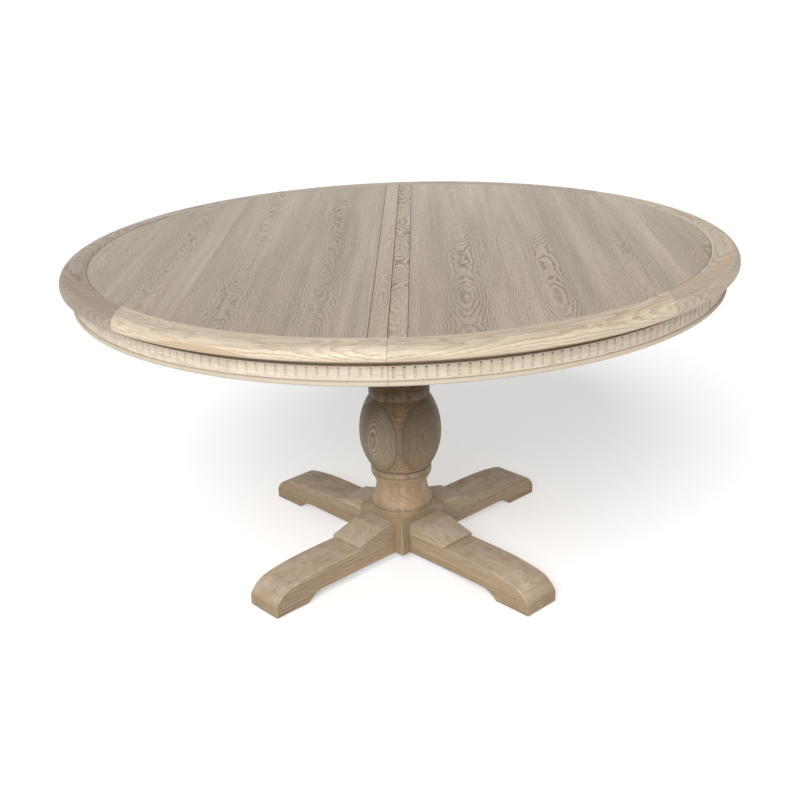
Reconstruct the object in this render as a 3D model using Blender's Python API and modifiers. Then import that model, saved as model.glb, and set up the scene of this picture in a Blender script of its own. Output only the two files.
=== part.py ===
"""Round pedestal dining table with a split top on geared equalizer slides.

World frame: metres, +Z up, the origin on the floor under the column.  The seam of
the top lies along Y, so the two halves draw apart along X.  Run with
    blender --background --python part.py
"""
import math

import bmesh
import bpy
from mathutils import Matrix, Vector

# ---------------------------------------------------------------- driving dimensions
GAP = 0.0003                # clearance left between faces that touch

TOP_Z = 0.778               # height of the table's surface
TOP_THICK = 0.025
TOP_RADIUS = 0.750
RING_INNER = 0.689          # inner edge of the solid ring round the field
RING_ARRIS = 0.7315         # where the ring's flat top meets its moulded edge
QUIRK_DROP = 0.0012
EDGE_LOWER_ROUND = 0.0045
STRIP_WIDTH = 0.035         # solid strip along each side of the seam
RING_JOINT_X = 0.523        # joints of the ring segments lie parallel to the seam

APRON_RADIUS = 0.7225
APRON_THICK = 0.020
APRON_LOW = 0.7015
APRON_SHOULDER = 0.7385     # the band is rebated above this, which leaves a shadow gap under the rim
APRON_REBATE = 0.007
BEAD_RADIUS = 0.727
BEAD_TOP = 0.713
APRON_JOINT_X = 0.626

POST_SIDE = 0.150           # the square ends of the column
POST_LOW = 0.0233
POST_SHOULDER = 0.1295      # where the lower square meets the turning
SHOULDER_DROP = 0.0125      # how far the turned shoulder runs down the square's corners
URN_RADIUS = 0.0998
URN_BELLY = 0.315           # height of the urn's widest place
URN_TOP = (0.0725, 0.4115)
URN_FOOT = (0.0741, 0.2300)
NECK_RADIUS = 0.0623
NECK_Z = 0.1835
LOWER_BEAD_RADIUS = 0.0746
UPPER_BEAD_RADIUS = 0.0736
COLUMN_TOP = 0.6882
COLUMN_MIRROR = 0.6415      # the hidden upper turning repeats the lower one: z becomes this minus z
POST_TURN = math.pi / 4     # the square ends face the legs

LEG_WIDTH = 0.098
LEG_REACH = 0.449
LEG_TOP = 0.0763
LEG_LIFT = POST_LOW         # underside of the leg between the post and the pad
PAD_INNER = 0.354
PAD_THICK = 0.0020
SADDLE_TOP = 0.1045
SADDLE_FLAT_END = 0.113
SADDLE_END = 0.190
SADDLE_NOSE = 0.0840

PLATE_SIDE = 0.460          # plywood plate on top of the column
PLATE_THICK = 0.018
CROSS_REACH = 0.200         # steel cross under the legs
CROSS_WIDTH = 0.080
CROSS_THICK = 0.003
CROSS_SCREWS = (0.045, 0.115, 0.175)    # distances from the axis, along each leg
CROSS_SCREW_TIP = 0.062

TRAVEL = 0.250              # how far each half draws out, for a 500 mm leaf
SLIDE_Y = 0.190             # centre lines of the two slide sets
RAIL_LOW = 0.7068
RAIL_HIGH = 0.7438
CENTRE_HALF_WIDTH = 0.014
CENTRE_LENGTH = 0.620
CENTRE_SCREWS = (-0.180, -0.070, 0.070, 0.180)
CENTRE_SCREW_TIP = 0.728
RUNNER_INNER = 0.0145       # inner face of a runner, from the slide's centre line
RUNNER_OUTER = 0.040
RUNNER_BACK = 0.600         # end of a runner under its own half
RUNNER_NOSE = 0.290         # end of a runner under the other half
RUNNER_SCREWS = (0.110, 0.330, 0.560)
RUNNER_SCREW_HEAD = 0.015   # depth of the counterbores in the runners
RUNNER_SCREW_TIP = 0.014    # how far the screws reach into the top
GROOVE_LOW = 0.7125
GROOVE_HIGH = 0.7225
GROOVE_FLOOR = 0.0060
RUNNING = 0.0006            # clearance round a tongue in its groove

MODULE = 0.003              # of the equalizer gears
TEETH = 12
PRESSURE_ANGLE = math.radians(25.0)
BACKLASH = 0.0004
ADDENDUM = 0.8 * MODULE
DEDENDUM = 1.1 * MODULE
PITCH_RADIUS = MODULE * TEETH / 2
PINION_LOW = 0.7300
PINION_HIGH = 0.7390
RACK_BACK = 0.0270
REBATE_BACK = 0.0273
GEAR_PIN_RADIUS = 0.003
GEAR_PIN_FOOT = 0.7252
RACK_START = 0.022          # rack beyond the pinion on the other side, when the top is shut

SCREW_RADIUS = 0.00225
SCREW_HEAD = 0.0045
LOCK_SCREW_RADIUS = 0.0017
LOCK_SCREW_HEAD = 0.0035
BOLT_RADIUS = 0.005
BOLT_OFFSET = 0.062         # of the four bolts, from the column's axis
BOLT_HEAD_RADIUS = 0.0085
BOLT_HEAD_HIGH = 0.006
WASHER_RADIUS = 0.011
WASHER_THICK = 0.0015
BOLT_FOOT = 0.624
HOLE_EXTRA = 0.0003

DOWEL_RADIUS = 0.004
DOWEL_Z = 0.765
DOWEL_Y = (-0.600, -0.200, 0.200, 0.600)

LOCK_Y = 0.420
LOCK_X = 0.022              # pivot and stud, each this far from the seam
LEVER_LOW = 0.7470
LEVER_HIGH = 0.7495
LEVER_HALF_WIDTH = 0.008
LEVER_LENGTH = 0.062
LOCK_PIN_RADIUS = 0.003
LOCK_HEAD_RADIUS = 0.005
LOCK_HEAD_LOW = 0.7432
LOCK_HEAD_HIGH = 0.7460
LOCK_PLATE_THICK = 0.002
LOCK_PLATE_ENDS = (0.010, 0.062)
LOCK_PLATE_HALF = 0.016
LOCK_SCREW_X = 0.052
LOCK_SCREW_Y = 0.009        # to each side of a plate's centre line
LOCK_SCREW_TIP = 0.012
LEVER_NOTCH = 0.0042        # half the width of the notch that takes the stud
LEVER_NOTCH_FLOOR = -0.0040
LEVER_TAB_HALF = 0.006
LEVER_TAB_DROP = 0.016

UNDERSIDE = TOP_Z - TOP_THICK
ROUND_STEPS = 72
SIDES = (("left", -1), ("right", 1))
ENDS = (("front", -1), ("back", 1))
LEGS = (("front_left", 225), ("front_right", 315), ("back_right", 45), ("back_left", 135))

# ---------------------------------------------------------------- clean scene
for old in list(bpy.data.objects):
    bpy.data.objects.remove(old, do_unlink=True)

parts = bpy.data.collections.new("round_pedestal_table")
cutters = bpy.data.collections.new("cutters")
bpy.context.scene.collection.children.link(parts)
bpy.context.scene.collection.children.link(cutters)


# ---------------------------------------------------------------- helpers
def finish_material(name, colour, roughness, metallic=0.0):
    """A Principled material with one colour, roughness and metallic value."""
    material = bpy.data.materials.new(name)
    material.use_nodes = True
    shader = material.node_tree.nodes["Principled BSDF"]
    shader.inputs["Base Color"].default_value = (*colour, 1.0)
    shader.inputs["Roughness"].default_value = roughness
    shader.inputs["Metallic"].default_value = metallic
    return material


def piece(name, mesh, material):
    """An object for one sub-part, with a material of its own."""
    obj = bpy.data.objects.new(name, mesh)
    colour, roughness, metallic = material
    obj.data.materials.clear()
    obj.data.materials.append(finish_material(name, colour, roughness, metallic))
    parts.objects.link(obj)
    return obj


def cutter(name, mesh):
    """An object that only shapes others."""
    obj = bpy.data.objects.new(name, mesh)
    obj.hide_render = True
    obj.display_type = 'WIRE'
    cutters.objects.link(obj)
    return obj


def box_mesh(low, high):
    """A cuboid between two corners."""
    bm = bmesh.new()
    bmesh.ops.create_cube(bm, size=1.0)
    size = Vector(high) - Vector(low)
    middle = (Vector(high) + Vector(low)) / 2
    bmesh.ops.scale(bm, vec=size, verts=bm.verts)
    bmesh.ops.translate(bm, vec=middle, verts=bm.verts)
    mesh = bpy.data.meshes.new("box")
    bm.to_mesh(mesh)
    bm.free()
    return mesh


def disc_mesh(radius, low, high):
    """A flat round disc between two heights."""
    bm = bmesh.new()
    bmesh.ops.create_cone(bm, cap_ends=True, segments=ROUND_STEPS, radius1=radius, radius2=radius,
                          depth=high - low)
    bmesh.ops.translate(bm, vec=(0.0, 0.0, (low + high) / 2), verts=bm.verts)
    mesh = bpy.data.meshes.new("disc")
    bm.to_mesh(mesh)
    bm.free()
    return mesh


def joined_mesh(mesh, matrices):
    """One mesh holding a copy of the given mesh at each matrix."""
    bm = bmesh.new()
    for matrix in matrices:
        start = len(bm.verts)
        bm.from_mesh(mesh)
        bm.verts.ensure_lookup_table()
        bmesh.ops.transform(bm, matrix=matrix, verts=bm.verts[start:])
    result = bpy.data.meshes.new("joined")
    bm.to_mesh(result)
    bm.free()
    return result


def evaluated_mesh(obj):
    """The mesh an object shows with its modifiers or its curve's depth, welded; the object is removed."""
    bpy.context.view_layer.update()
    shown = obj.evaluated_get(bpy.context.evaluated_depsgraph_get())
    mesh = bpy.data.meshes.new_from_object(shown)
    bm = bmesh.new()
    bm.from_mesh(mesh)
    bmesh.ops.remove_doubles(bm, verts=bm.verts, dist=0.00001)
    bmesh.ops.dissolve_limit(bm, angle_limit=0.0005, verts=bm.verts, edges=bm.edges)
    bmesh.ops.recalc_face_normals(bm, faces=bm.faces)
    bm.to_mesh(mesh)
    bm.free()
    mesh.transform(obj.matrix_world)
    bpy.data.objects.remove(obj, do_unlink=True)
    return mesh


def profile_mesh(profile, closed=False):
    """A profile of (radius, height) points on the XZ plane."""
    verts = [(radius, 0.0, height) for radius, height in profile]
    edges = [(i, i + 1) for i in range(len(verts) - 1)]
    if closed:
        edges.append((len(verts) - 1, 0))
    mesh = bpy.data.meshes.new("profile")
    mesh.from_pydata(verts, edges, [])
    return mesh


def turn(obj, steps):
    """Turn an object's profile a full circle round Z."""
    screw = obj.modifiers.new("turn", 'SCREW')
    screw.axis = 'Z'
    screw.steps = steps
    screw.render_steps = steps
    screw.use_merge_vertices = True
    screw.merge_threshold = 0.00005
    screw.use_smooth_shade = False


def turned_mesh(profile, steps=8):
    """A small turned solid as a finished mesh."""
    obj = cutter("turned", profile_mesh(profile))
    turn(obj, steps)
    return evaluated_mesh(obj)


def extruded_mesh(outline, depth, matrix=Matrix(), holes=()):
    """A flat outline in X and Y given a depth along Z about its plane, then placed by a matrix."""
    curve = bpy.data.curves.new("outline", 'CURVE')
    curve.dimensions = '2D'
    curve.fill_mode = 'BOTH'
    curve.extrude = depth / 2
    for ring in (outline, *holes):
        spline = curve.splines.new('POLY')
        spline.points.add(len(ring) - 1)
        for point, (u, v) in zip(spline.points, ring):
            point.co = (u, v, 0.0, 1.0)
        spline.use_cyclic_u = True
    obj = cutter("outline", curve)
    obj.matrix_world = matrix
    return evaluated_mesh(obj)


def boolean(obj, operation, tool, use_self=False):
    """Cut, keep or join with another object, by the exact solver."""
    modifier = obj.modifiers.new(operation.lower(), 'BOOLEAN')
    modifier.operation = operation
    modifier.solver = 'EXACT'
    modifier.use_self = use_self
    modifier.object = tool


def round_edges(obj, width, segments=2):
    """Rounded arrises on every edge sharper than 40 degrees."""
    bevel = obj.modifiers.new("round_edges", 'BEVEL')
    bevel.width = width
    bevel.segments = segments
    bevel.limit_method = 'ANGLE'
    bevel.angle_limit = math.radians(40)
    bevel.use_clamp_overlap = True


def ride_on(empty, objects):
    """Parent pieces to the empty of the body they move with, where they are."""
    for obj in objects:
        obj.parent = empty
        obj.matrix_parent_inverse = Matrix.Translation(-empty.location)


def circle(radius, count):
    """Points on a circle about the origin."""
    return [(radius * math.cos(math.tau * i / count), radius * math.sin(math.tau * i / count))
            for i in range(count)]


def along_x(centre_x):
    """Stands an outline drawn in (y, z) up, its depth along X."""
    turned = Matrix(((0, 0, 1, 0), (1, 0, 0, 0), (0, 1, 0, 0), (0, 0, 0, 1)))
    return Matrix.Translation((centre_x, 0, 0)) @ turned


def along_z(low, high, x=0.0, y=0.0):
    """Lays an outline drawn in (x, y) between two heights."""
    return Matrix.Translation((x, y, (low + high) / 2))


def radial(angle_deg):
    """Stands an outline drawn in (reach, z) up on a line out from the column."""
    return Matrix.Rotation(math.radians(angle_deg), 4, 'Z') @ Matrix.Rotation(math.pi / 2, 4, 'X')


OAK = ((0.47, 0.38, 0.28), 0.55, 0.0)
OAK_TOP = ((0.45, 0.39, 0.31), 0.50, 0.0)
OAK_RIM = ((0.66, 0.56, 0.42), 0.52, 0.0)
OAK_APRON = ((0.72, 0.64, 0.51), 0.60, 0.0)
BEECH = ((0.62, 0.45, 0.28), 0.50, 0.0)
PLYWOOD = ((0.60, 0.47, 0.31), 0.60, 0.0)
STEEL = ((0.62, 0.62, 0.64), 0.35, 1.0)
NYLON = ((0.82, 0.82, 0.78), 0.45, 0.0)
FELT = ((0.20, 0.18, 0.16), 0.95, 0.0)


# ---------------------------------------------------------------- screw holes
def hole_profile(head_z, tip_z, radius, head, open_end=0.030):
    """The hole for a screw driven upwards, with room for its head and driver below the bearing face."""
    wide = head + 2 * HOLE_EXTRA
    return [(0.0, tip_z), (radius + HOLE_EXTRA, tip_z), (radius + HOLE_EXTRA, head_z),
            (wide, head_z), (wide, head_z - open_end), (0.0, head_z - open_end)]


def at_places(places):
    """Upright placing matrices for a list of (x, y) places."""
    return [Matrix.Translation((x, y, 0.0)) for x, y in places]


def screw_holes(name, places, head_z, tip_z, radius=SCREW_RADIUS, head=SCREW_HEAD):
    """The cutter for a row of identical screws' holes."""
    hole = turned_mesh(hole_profile(head_z, tip_z, radius, head))
    return cutter(name, joined_mesh(hole, at_places(places)))


# ---------------------------------------------------------------- column
def eased(start, end, count):
    """Points on a half-cosine sweep from one (radius, height) to another, both ends upright."""
    points = []
    for i in range(count + 1):
        t = i / count
        share = (1 - math.cos(math.pi * t)) / 2
        points.append((start[0] + (end[0] - start[0]) * share, start[1] + (end[1] - start[1]) * t))
    return points


def urn_side(radius, belly_z, end_radius, end_z, power, count):
    """The urn's side from its belly to one end: the radius falls by a power of the height."""
    points = []
    for i in range(count + 1):
        t = i / count
        points.append((radius - (radius - end_radius) * t ** power, belly_z + (end_z - belly_z) * t))
    return points


def neck_profile(bead_radius):
    """The bead, the neck and the flare below it, from the urn's foot down to the square."""
    bead = [(bead_radius - 0.0006, URN_FOOT[1] - 0.0010), (bead_radius, URN_FOOT[1] - 0.0060)]
    sweep = eased((bead_radius, URN_FOOT[1] - 0.0140), (NECK_RADIUS, NECK_Z), 6)
    foot_radius = POST_SIDE / 2 - 0.0002
    widening = foot_radius - NECK_RADIUS
    flare = [(NECK_RADIUS + widening * t * t, NECK_Z - 0.042 * t) for t in (0.35, 0.7, 1.0)]
    return bead + sweep + flare + [(foot_radius, POST_SHOULDER - 0.004)]


def column_profile():
    """The turning between the two squares, from top to bottom."""
    upper = [(radius, COLUMN_MIRROR - height) for radius, height in neck_profile(UPPER_BEAD_RADIUS)][::-1]
    urn_top = urn_side(URN_RADIUS, URN_BELLY, *URN_TOP, 2.3, 7)[::-1]
    urn_foot = urn_side(URN_RADIUS, URN_BELLY, *URN_FOOT, 2.05, 6)[1:]
    side = upper + urn_top + urn_foot + neck_profile(LOWER_BEAD_RADIUS)
    return [(0.0, side[0][1])] + side + [(0.0, side[-1][1])]


def square_end(name, low, high, shoulder_z):
    """A square end of the column whose corners are turned down to a shoulder where the turning starts."""
    half = POST_SIDE / 2
    block = cutter(name, box_mesh((-half, -half, low), (half, half, high)))
    block.rotation_euler.z = POST_TURN
    round_edges(block, 0.003, 1)
    wide = half * 1.5
    drop = SHOULDER_DROP
    if shoulder_z == high:
        rim = [(0.0, high + GAP), (half - 0.0002, high + GAP), (wide, high - drop), (wide, low - drop),
               (0.0, low - drop)]
    else:
        rim = [(0.0, high + drop), (wide, high + drop), (wide, low + drop), (half - 0.0002, low - GAP),
               (0.0, low - GAP)]
    envelope = cutter(name + "_shoulder", profile_mesh(rim))
    turn(envelope, 32)
    boolean(block, 'INTERSECT', envelope)
    return block


column = piece("column", profile_mesh(column_profile()), OAK)
turn(column, 32)
boolean(column, 'UNION', square_end("lower_square", POST_LOW, POST_SHOULDER, POST_SHOULDER))
upper_shoulder = COLUMN_MIRROR - POST_SHOULDER
boolean(column, 'UNION', square_end("upper_square", upper_shoulder, COLUMN_TOP, upper_shoulder))


# ---------------------------------------------------------------- legs and saddles
def bezier(start, start_handle, end_handle, end, count):
    """Points on a cubic curve between two places."""
    points = []
    for i in range(count + 1):
        t = i / count
        weights = ((1 - t) ** 3, 3 * t * (1 - t) ** 2, 3 * t * t * (1 - t), t ** 3)
        corners = (start, start_handle, end_handle, end)
        points.append(tuple(sum(w * c[k] for w, c in zip(weights, corners)) for k in range(2)))
    return points


def leg_outline():
    """A leg from the side, in (reach, height): flat top falling to a rounded toe, arched underneath."""
    inner = POST_SIDE / 2 + GAP
    pad_z = PAD_THICK + GAP
    fall_start, fall_end, fall = 0.223, 0.4065, 0.0133
    top = [(fall_start + (fall_end - fall_start) * t, LEG_TOP - fall * t ** 3) for t in (0.0, 0.35, 0.6, 0.8)]
    toe = bezier((fall_end, LEG_TOP - fall), (0.4225, 0.0595), (LEG_REACH, 0.0386), (LEG_REACH, 0.0236), 7)
    arch_start = 0.3068
    arch = [(arch_start + (PAD_INNER - arch_start) * t, LEG_LIFT - (LEG_LIFT - pad_z) * t * t)
            for t in (1.0, 0.8, 0.6, 0.4, 0.2, 0.0)]
    return [(inner, LEG_TOP)] + top + toe + [(LEG_REACH, pad_z)] + arch + [(inner, LEG_LIFT)]


def saddle_outline():
    """The block on a leg against the post: flat on top, then sloping down to a small step."""
    inner = POST_SIDE / 2 + GAP
    seat = LEG_TOP + GAP
    return [(inner, SADDLE_TOP), (SADDLE_FLAT_END, SADDLE_TOP), (SADDLE_END, SADDLE_NOSE), (SADDLE_END, seat),
            (inner, seat)]


legs = []
for corner, angle in LEGS:
    leg = piece("leg_" + corner, extruded_mesh(leg_outline(), LEG_WIDTH, radial(angle)), OAK)
    round_edges(leg, 0.003)
    legs.append(leg)
    saddle = piece("saddle_" + corner, extruded_mesh(saddle_outline(), LEG_WIDTH, radial(angle)), OAK)
    round_edges(saddle, 0.0015, 1)

pad_half = LEG_WIDTH / 2 - 0.006
for corner, angle in LEGS:
    pad_mesh = box_mesh((PAD_INNER + 0.006, -pad_half, 0.0), (LEG_REACH - 0.006, pad_half, PAD_THICK))
    pad = piece("felt_pad_" + corner, pad_mesh, FELT)
    pad.rotation_euler.z = math.radians(angle)

# Steel cross that ties the legs to the foot of the column, screwed up into both.
reach, half = CROSS_REACH, CROSS_WIDTH / 2
arm = [(half, half), (reach, half), (reach, -half), (half, -half)]
cross_outline = []
for quarter in range(4):
    turn_by = -quarter * math.pi / 2
    for x, y in arm[:3]:
        cross_outline.append((x * math.cos(turn_by) - y * math.sin(turn_by),
                              x * math.sin(turn_by) + y * math.cos(turn_by)))
cross_high = LEG_LIFT - GAP
cross_low = cross_high - CROSS_THICK
cross_matrix = along_z(cross_low, cross_high) @ Matrix.Rotation(POST_TURN, 4, 'Z')
cross = piece("leg_cross_plate", extruded_mesh(cross_outline, CROSS_THICK, cross_matrix), STEEL)

cross_places = []
for _, angle in LEGS:
    for distance in CROSS_SCREWS:
        turn_by = math.radians(angle)
        cross_places.append((distance * math.cos(turn_by), distance * math.sin(turn_by)))
leg_holes = screw_holes("leg_plate_holes", cross_places, cross_low - GAP, CROSS_SCREW_TIP)
for obj in (cross, column, *legs):
    boolean(obj, 'DIFFERENCE', leg_holes)

# ---------------------------------------------------------------- plate on top of the column
plate_low = COLUMN_TOP + GAP
plate_high = plate_low + PLATE_THICK
half = PLATE_SIDE / 2
top_plate = piece("top_plate", box_mesh((-half, -half, plate_low), (half, half, plate_high)), PLYWOOD)
round_edges(top_plate, 0.004, 1)

bolt_places = {"right": (BOLT_OFFSET, 0.0), "left": (-BOLT_OFFSET, 0.0), "back": (0.0, BOLT_OFFSET),
               "front": (0.0, -BOLT_OFFSET)}
washer_high = plate_high + GAP + WASHER_THICK
bolt_high = washer_high + BOLT_HEAD_HIGH
bolt_mesh = turned_mesh([(0.0, bolt_high), (BOLT_HEAD_RADIUS, bolt_high), (BOLT_HEAD_RADIUS, washer_high),
                         (WASHER_RADIUS, washer_high), (WASHER_RADIUS, plate_high + GAP),
                         (BOLT_RADIUS, plate_high + GAP), (BOLT_RADIUS, BOLT_FOOT + 0.006), (0.0, BOLT_FOOT)])
for place, (x, y) in bolt_places.items():
    bolt = piece("plate_bolt_" + place, bolt_mesh.copy(), STEEL)
    bolt.location = (x, y, 0.0)
bolt_bore = turned_mesh([(0.0, plate_high + 0.002), (BOLT_RADIUS + HOLE_EXTRA, plate_high + 0.002),
                         (BOLT_RADIUS + HOLE_EXTRA, BOLT_FOOT - 0.002), (0.0, BOLT_FOOT - 0.002)])
bolt_holes = cutter("bolt_holes", joined_mesh(bolt_bore, at_places(bolt_places.values())))
boolean(column, 'DIFFERENCE', bolt_holes)
boolean(top_plate, 'DIFFERENCE', bolt_holes)

# ---------------------------------------------------------------- centre rails
centre_screw_places = [(x, y * SLIDE_Y) for _, y in ENDS for x in CENTRE_SCREWS]
centre_holes = screw_holes("centre_rail_holes", centre_screw_places, plate_low - GAP, CENTRE_SCREW_TIP)
boolean(top_plate, 'DIFFERENCE', centre_holes)


def centre_outline(y):
    """A centre rail's section in (y, z): a groove for a runner's tongue along each side."""
    side = [(CENTRE_HALF_WIDTH, RAIL_LOW), (CENTRE_HALF_WIDTH, GROOVE_LOW), (GROOVE_FLOOR, GROOVE_LOW),
            (GROOVE_FLOOR, GROOVE_HIGH), (CENTRE_HALF_WIDTH, GROOVE_HIGH), (CENTRE_HALF_WIDTH, RAIL_HIGH)]
    return [(y + u, v) for u, v in side] + [(y - u, v) for u, v in reversed(side)]


pin_top = RAIL_HIGH
pin_foot = GEAR_PIN_FOOT
for end, sign in ENDS:
    y = sign * SLIDE_Y
    rail = piece("centre_rail_" + end, extruded_mesh(centre_outline(y), CENTRE_LENGTH, along_x(0.0)), BEECH)
    # Its two grooves are level, so their edges lie in line across the end: the first cut sorts that out.
    boolean(rail, 'DIFFERENCE', centre_holes, use_self=True)
    slot_half = PITCH_RADIUS + ADDENDUM + 0.0025    # clear of the pinion's teeth
    slot = cutter("gear_slot_" + end, box_mesh((-slot_half, y - 0.020, PINION_LOW - 0.001),
                                               (slot_half, y + 0.020, PINION_HIGH + 0.001)))
    boolean(rail, 'DIFFERENCE', slot)
    bore = turned_mesh([(0.0, pin_top + 0.002), (GEAR_PIN_RADIUS + HOLE_EXTRA, pin_top + 0.002),
                        (GEAR_PIN_RADIUS + HOLE_EXTRA, pin_foot - 0.0005), (0.0, pin_foot - 0.0005)], 12)
    boolean(rail, 'DIFFERENCE', cutter("gear_pin_hole_" + end, joined_mesh(bore, at_places([(0.0, y)]))))
    pin_outline = [(0.0, pin_top), (GEAR_PIN_RADIUS, pin_top), (GEAR_PIN_RADIUS, pin_foot), (0.0, pin_foot)]
    pin = piece("gear_pin_" + end, turned_mesh(pin_outline, 12), STEEL)
    pin.location = (0.0, y, 0.0)


# ---------------------------------------------------------------- equalizer gears
def involute(angle):
    """How far an involute has turned from its root at a pressure angle."""
    return math.tan(angle) - angle


def pinion_outline():
    """A spur gear's outline with involute flanks, one tooth centred on +X."""
    base = PITCH_RADIUS * math.cos(PRESSURE_ANGLE)
    root = PITCH_RADIUS - DEDENDUM
    tip = PITCH_RADIUS + ADDENDUM
    half_tooth = math.pi / (2 * TEETH) - BACKLASH / (2 * PITCH_RADIUS) + involute(PRESSURE_ANGLE)
    flank = []
    for i in range(3):
        radius = base + (tip - base) * i / 2
        flank.append((radius, half_tooth - involute(math.acos(base / radius))))
    rising = [(root, flank[0][1])] + flank
    points = []
    for tooth in range(TEETH):
        middle = math.tau * tooth / TEETH
        points += [(r, middle - a) for r, a in rising]
        points += [(r, middle + a) for r, a in reversed(rising)]
    return [(r * math.cos(a), r * math.sin(a)) for r, a in points]


for end, sign in ENDS:
    matrix = Matrix.Rotation(math.pi / 2, 4, 'Z')
    bore_ring = circle(GEAR_PIN_RADIUS + HOLE_EXTRA, 12)
    mesh = extruded_mesh(pinion_outline(), PINION_HIGH - PINION_LOW, matrix, [bore_ring])
    gear = piece("pinion_" + end, mesh, NYLON)
    gear.location = (0.0, sign * SLIDE_Y, (PINION_LOW + PINION_HIGH) / 2)


# ---------------------------------------------------------------- the two halves of the top
def ring_profile():
    """The ring's section: flat top, a small quirk, a thumbnail moulding and a rounded lower arris."""
    drop = TOP_Z - QUIRK_DROP
    foot_z = UNDERSIDE + EDGE_LOWER_ROUND
    wide = TOP_RADIUS - RING_ARRIS
    tall = drop - foot_z
    moulding = []
    for i in range(6):
        turn_by = math.pi / 2 * (1 - i / 5)
        moulding.append((RING_ARRIS + wide * math.cos(turn_by), foot_z + tall * math.sin(turn_by)))
    under = [(TOP_RADIUS - 0.0013, foot_z - 0.0032), (TOP_RADIUS - EDGE_LOWER_ROUND, UNDERSIDE)]
    return [(RING_INNER, TOP_Z), (RING_ARRIS, TOP_Z)] + moulding + under + [(RING_INNER, UNDERSIDE)]


def apron_profile():
    """The apron's section: a rebate at the top, a plain band, and a bead along its foot."""
    high = UNDERSIDE - GAP
    back = APRON_RADIUS - APRON_REBATE
    return [(APRON_RADIUS - APRON_THICK, high), (back, high), (back, APRON_SHOULDER),
            (APRON_RADIUS, APRON_SHOULDER), (APRON_RADIUS, BEAD_TOP),
            (BEAD_RADIUS - 0.0012, BEAD_TOP - 0.0022), (BEAD_RADIUS, BEAD_TOP - 0.0055),
            (BEAD_RADIUS - 0.0008, BEAD_TOP - 0.0092), (BEAD_RADIUS - 0.003, APRON_LOW),
            (APRON_RADIUS - APRON_THICK, APRON_LOW)]


def arc_segments(side, sign, kind, profile, joint_x, material):
    """One half of a ring as three segments, whose joints lie parallel to the seam."""
    near, far = GAP, TOP_RADIUS + 0.05
    spans = {"front": ((near, joint_x), (-far, 0.0)),
             "side": ((joint_x + GAP, far), (-far, far)),
             "back": ((near, joint_x), (0.0, far))}
    made = []
    for place, ((x0, x1), (y0, y1)) in spans.items():
        low_x, high_x = sorted((sign * x0, sign * x1))
        obj = piece("%s_%s_%s" % (side, kind, place), profile_mesh(profile, closed=True), material)
        turn(obj, ROUND_STEPS)
        keep = cutter(obj.name + "_keep", box_mesh((low_x, y0, 0.6), (high_x, y1, 0.9)))
        boolean(obj, 'INTERSECT', keep)
        made.append(obj)
    return made


def runner_outline(y, outward):
    """A runner's section in (y, z): a tongue into the centre rail and a rebate that holds the rack."""
    tongue_tip = GROOVE_FLOOR + RUNNING
    side = [(RUNNER_INNER, RAIL_LOW + RUNNING), (RUNNER_INNER, GROOVE_LOW + RUNNING),
            (tongue_tip, GROOVE_LOW + RUNNING), (tongue_tip, GROOVE_HIGH - RUNNING),
            (RUNNER_INNER, GROOVE_HIGH - RUNNING), (RUNNER_INNER, PINION_LOW - 0.0008),
            (REBATE_BACK, PINION_LOW - 0.0008), (REBATE_BACK, PINION_HIGH + 0.0008),
            (RUNNER_INNER, PINION_HIGH + 0.0008), (RUNNER_INNER, RAIL_HIGH), (RUNNER_OUTER, RAIL_HIGH),
            (RUNNER_OUTER, RAIL_LOW + RUNNING)]
    return [(y + outward * u, v) for u, v in side]


def rack_outline(first, last):
    """A rack in (x, distance from the pinion's axis), a gap between teeth centred on x = 0."""
    pitch = math.pi * MODULE
    slope = math.tan(PRESSURE_ANGLE)
    tip, root = PITCH_RADIUS - ADDENDUM, PITCH_RADIUS + DEDENDUM
    half_tip = pitch / 4 - ADDENDUM * slope - BACKLASH / 4
    half_root = pitch / 4 + DEDENDUM * slope - BACKLASH / 4
    points = [(first, RACK_BACK), (first, root)]
    count = int((last - first) / pitch) + 2
    start = math.ceil((first + half_root) / pitch - 0.5)
    for i in range(start, start + count):
        middle = (i + 0.5) * pitch
        if middle + half_root < last:
            points += [(middle - half_root, root), (middle - half_tip, tip),
                       (middle + half_tip, tip), (middle + half_root, root)]
    return points + [(last, root), (last, RACK_BACK)]


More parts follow.
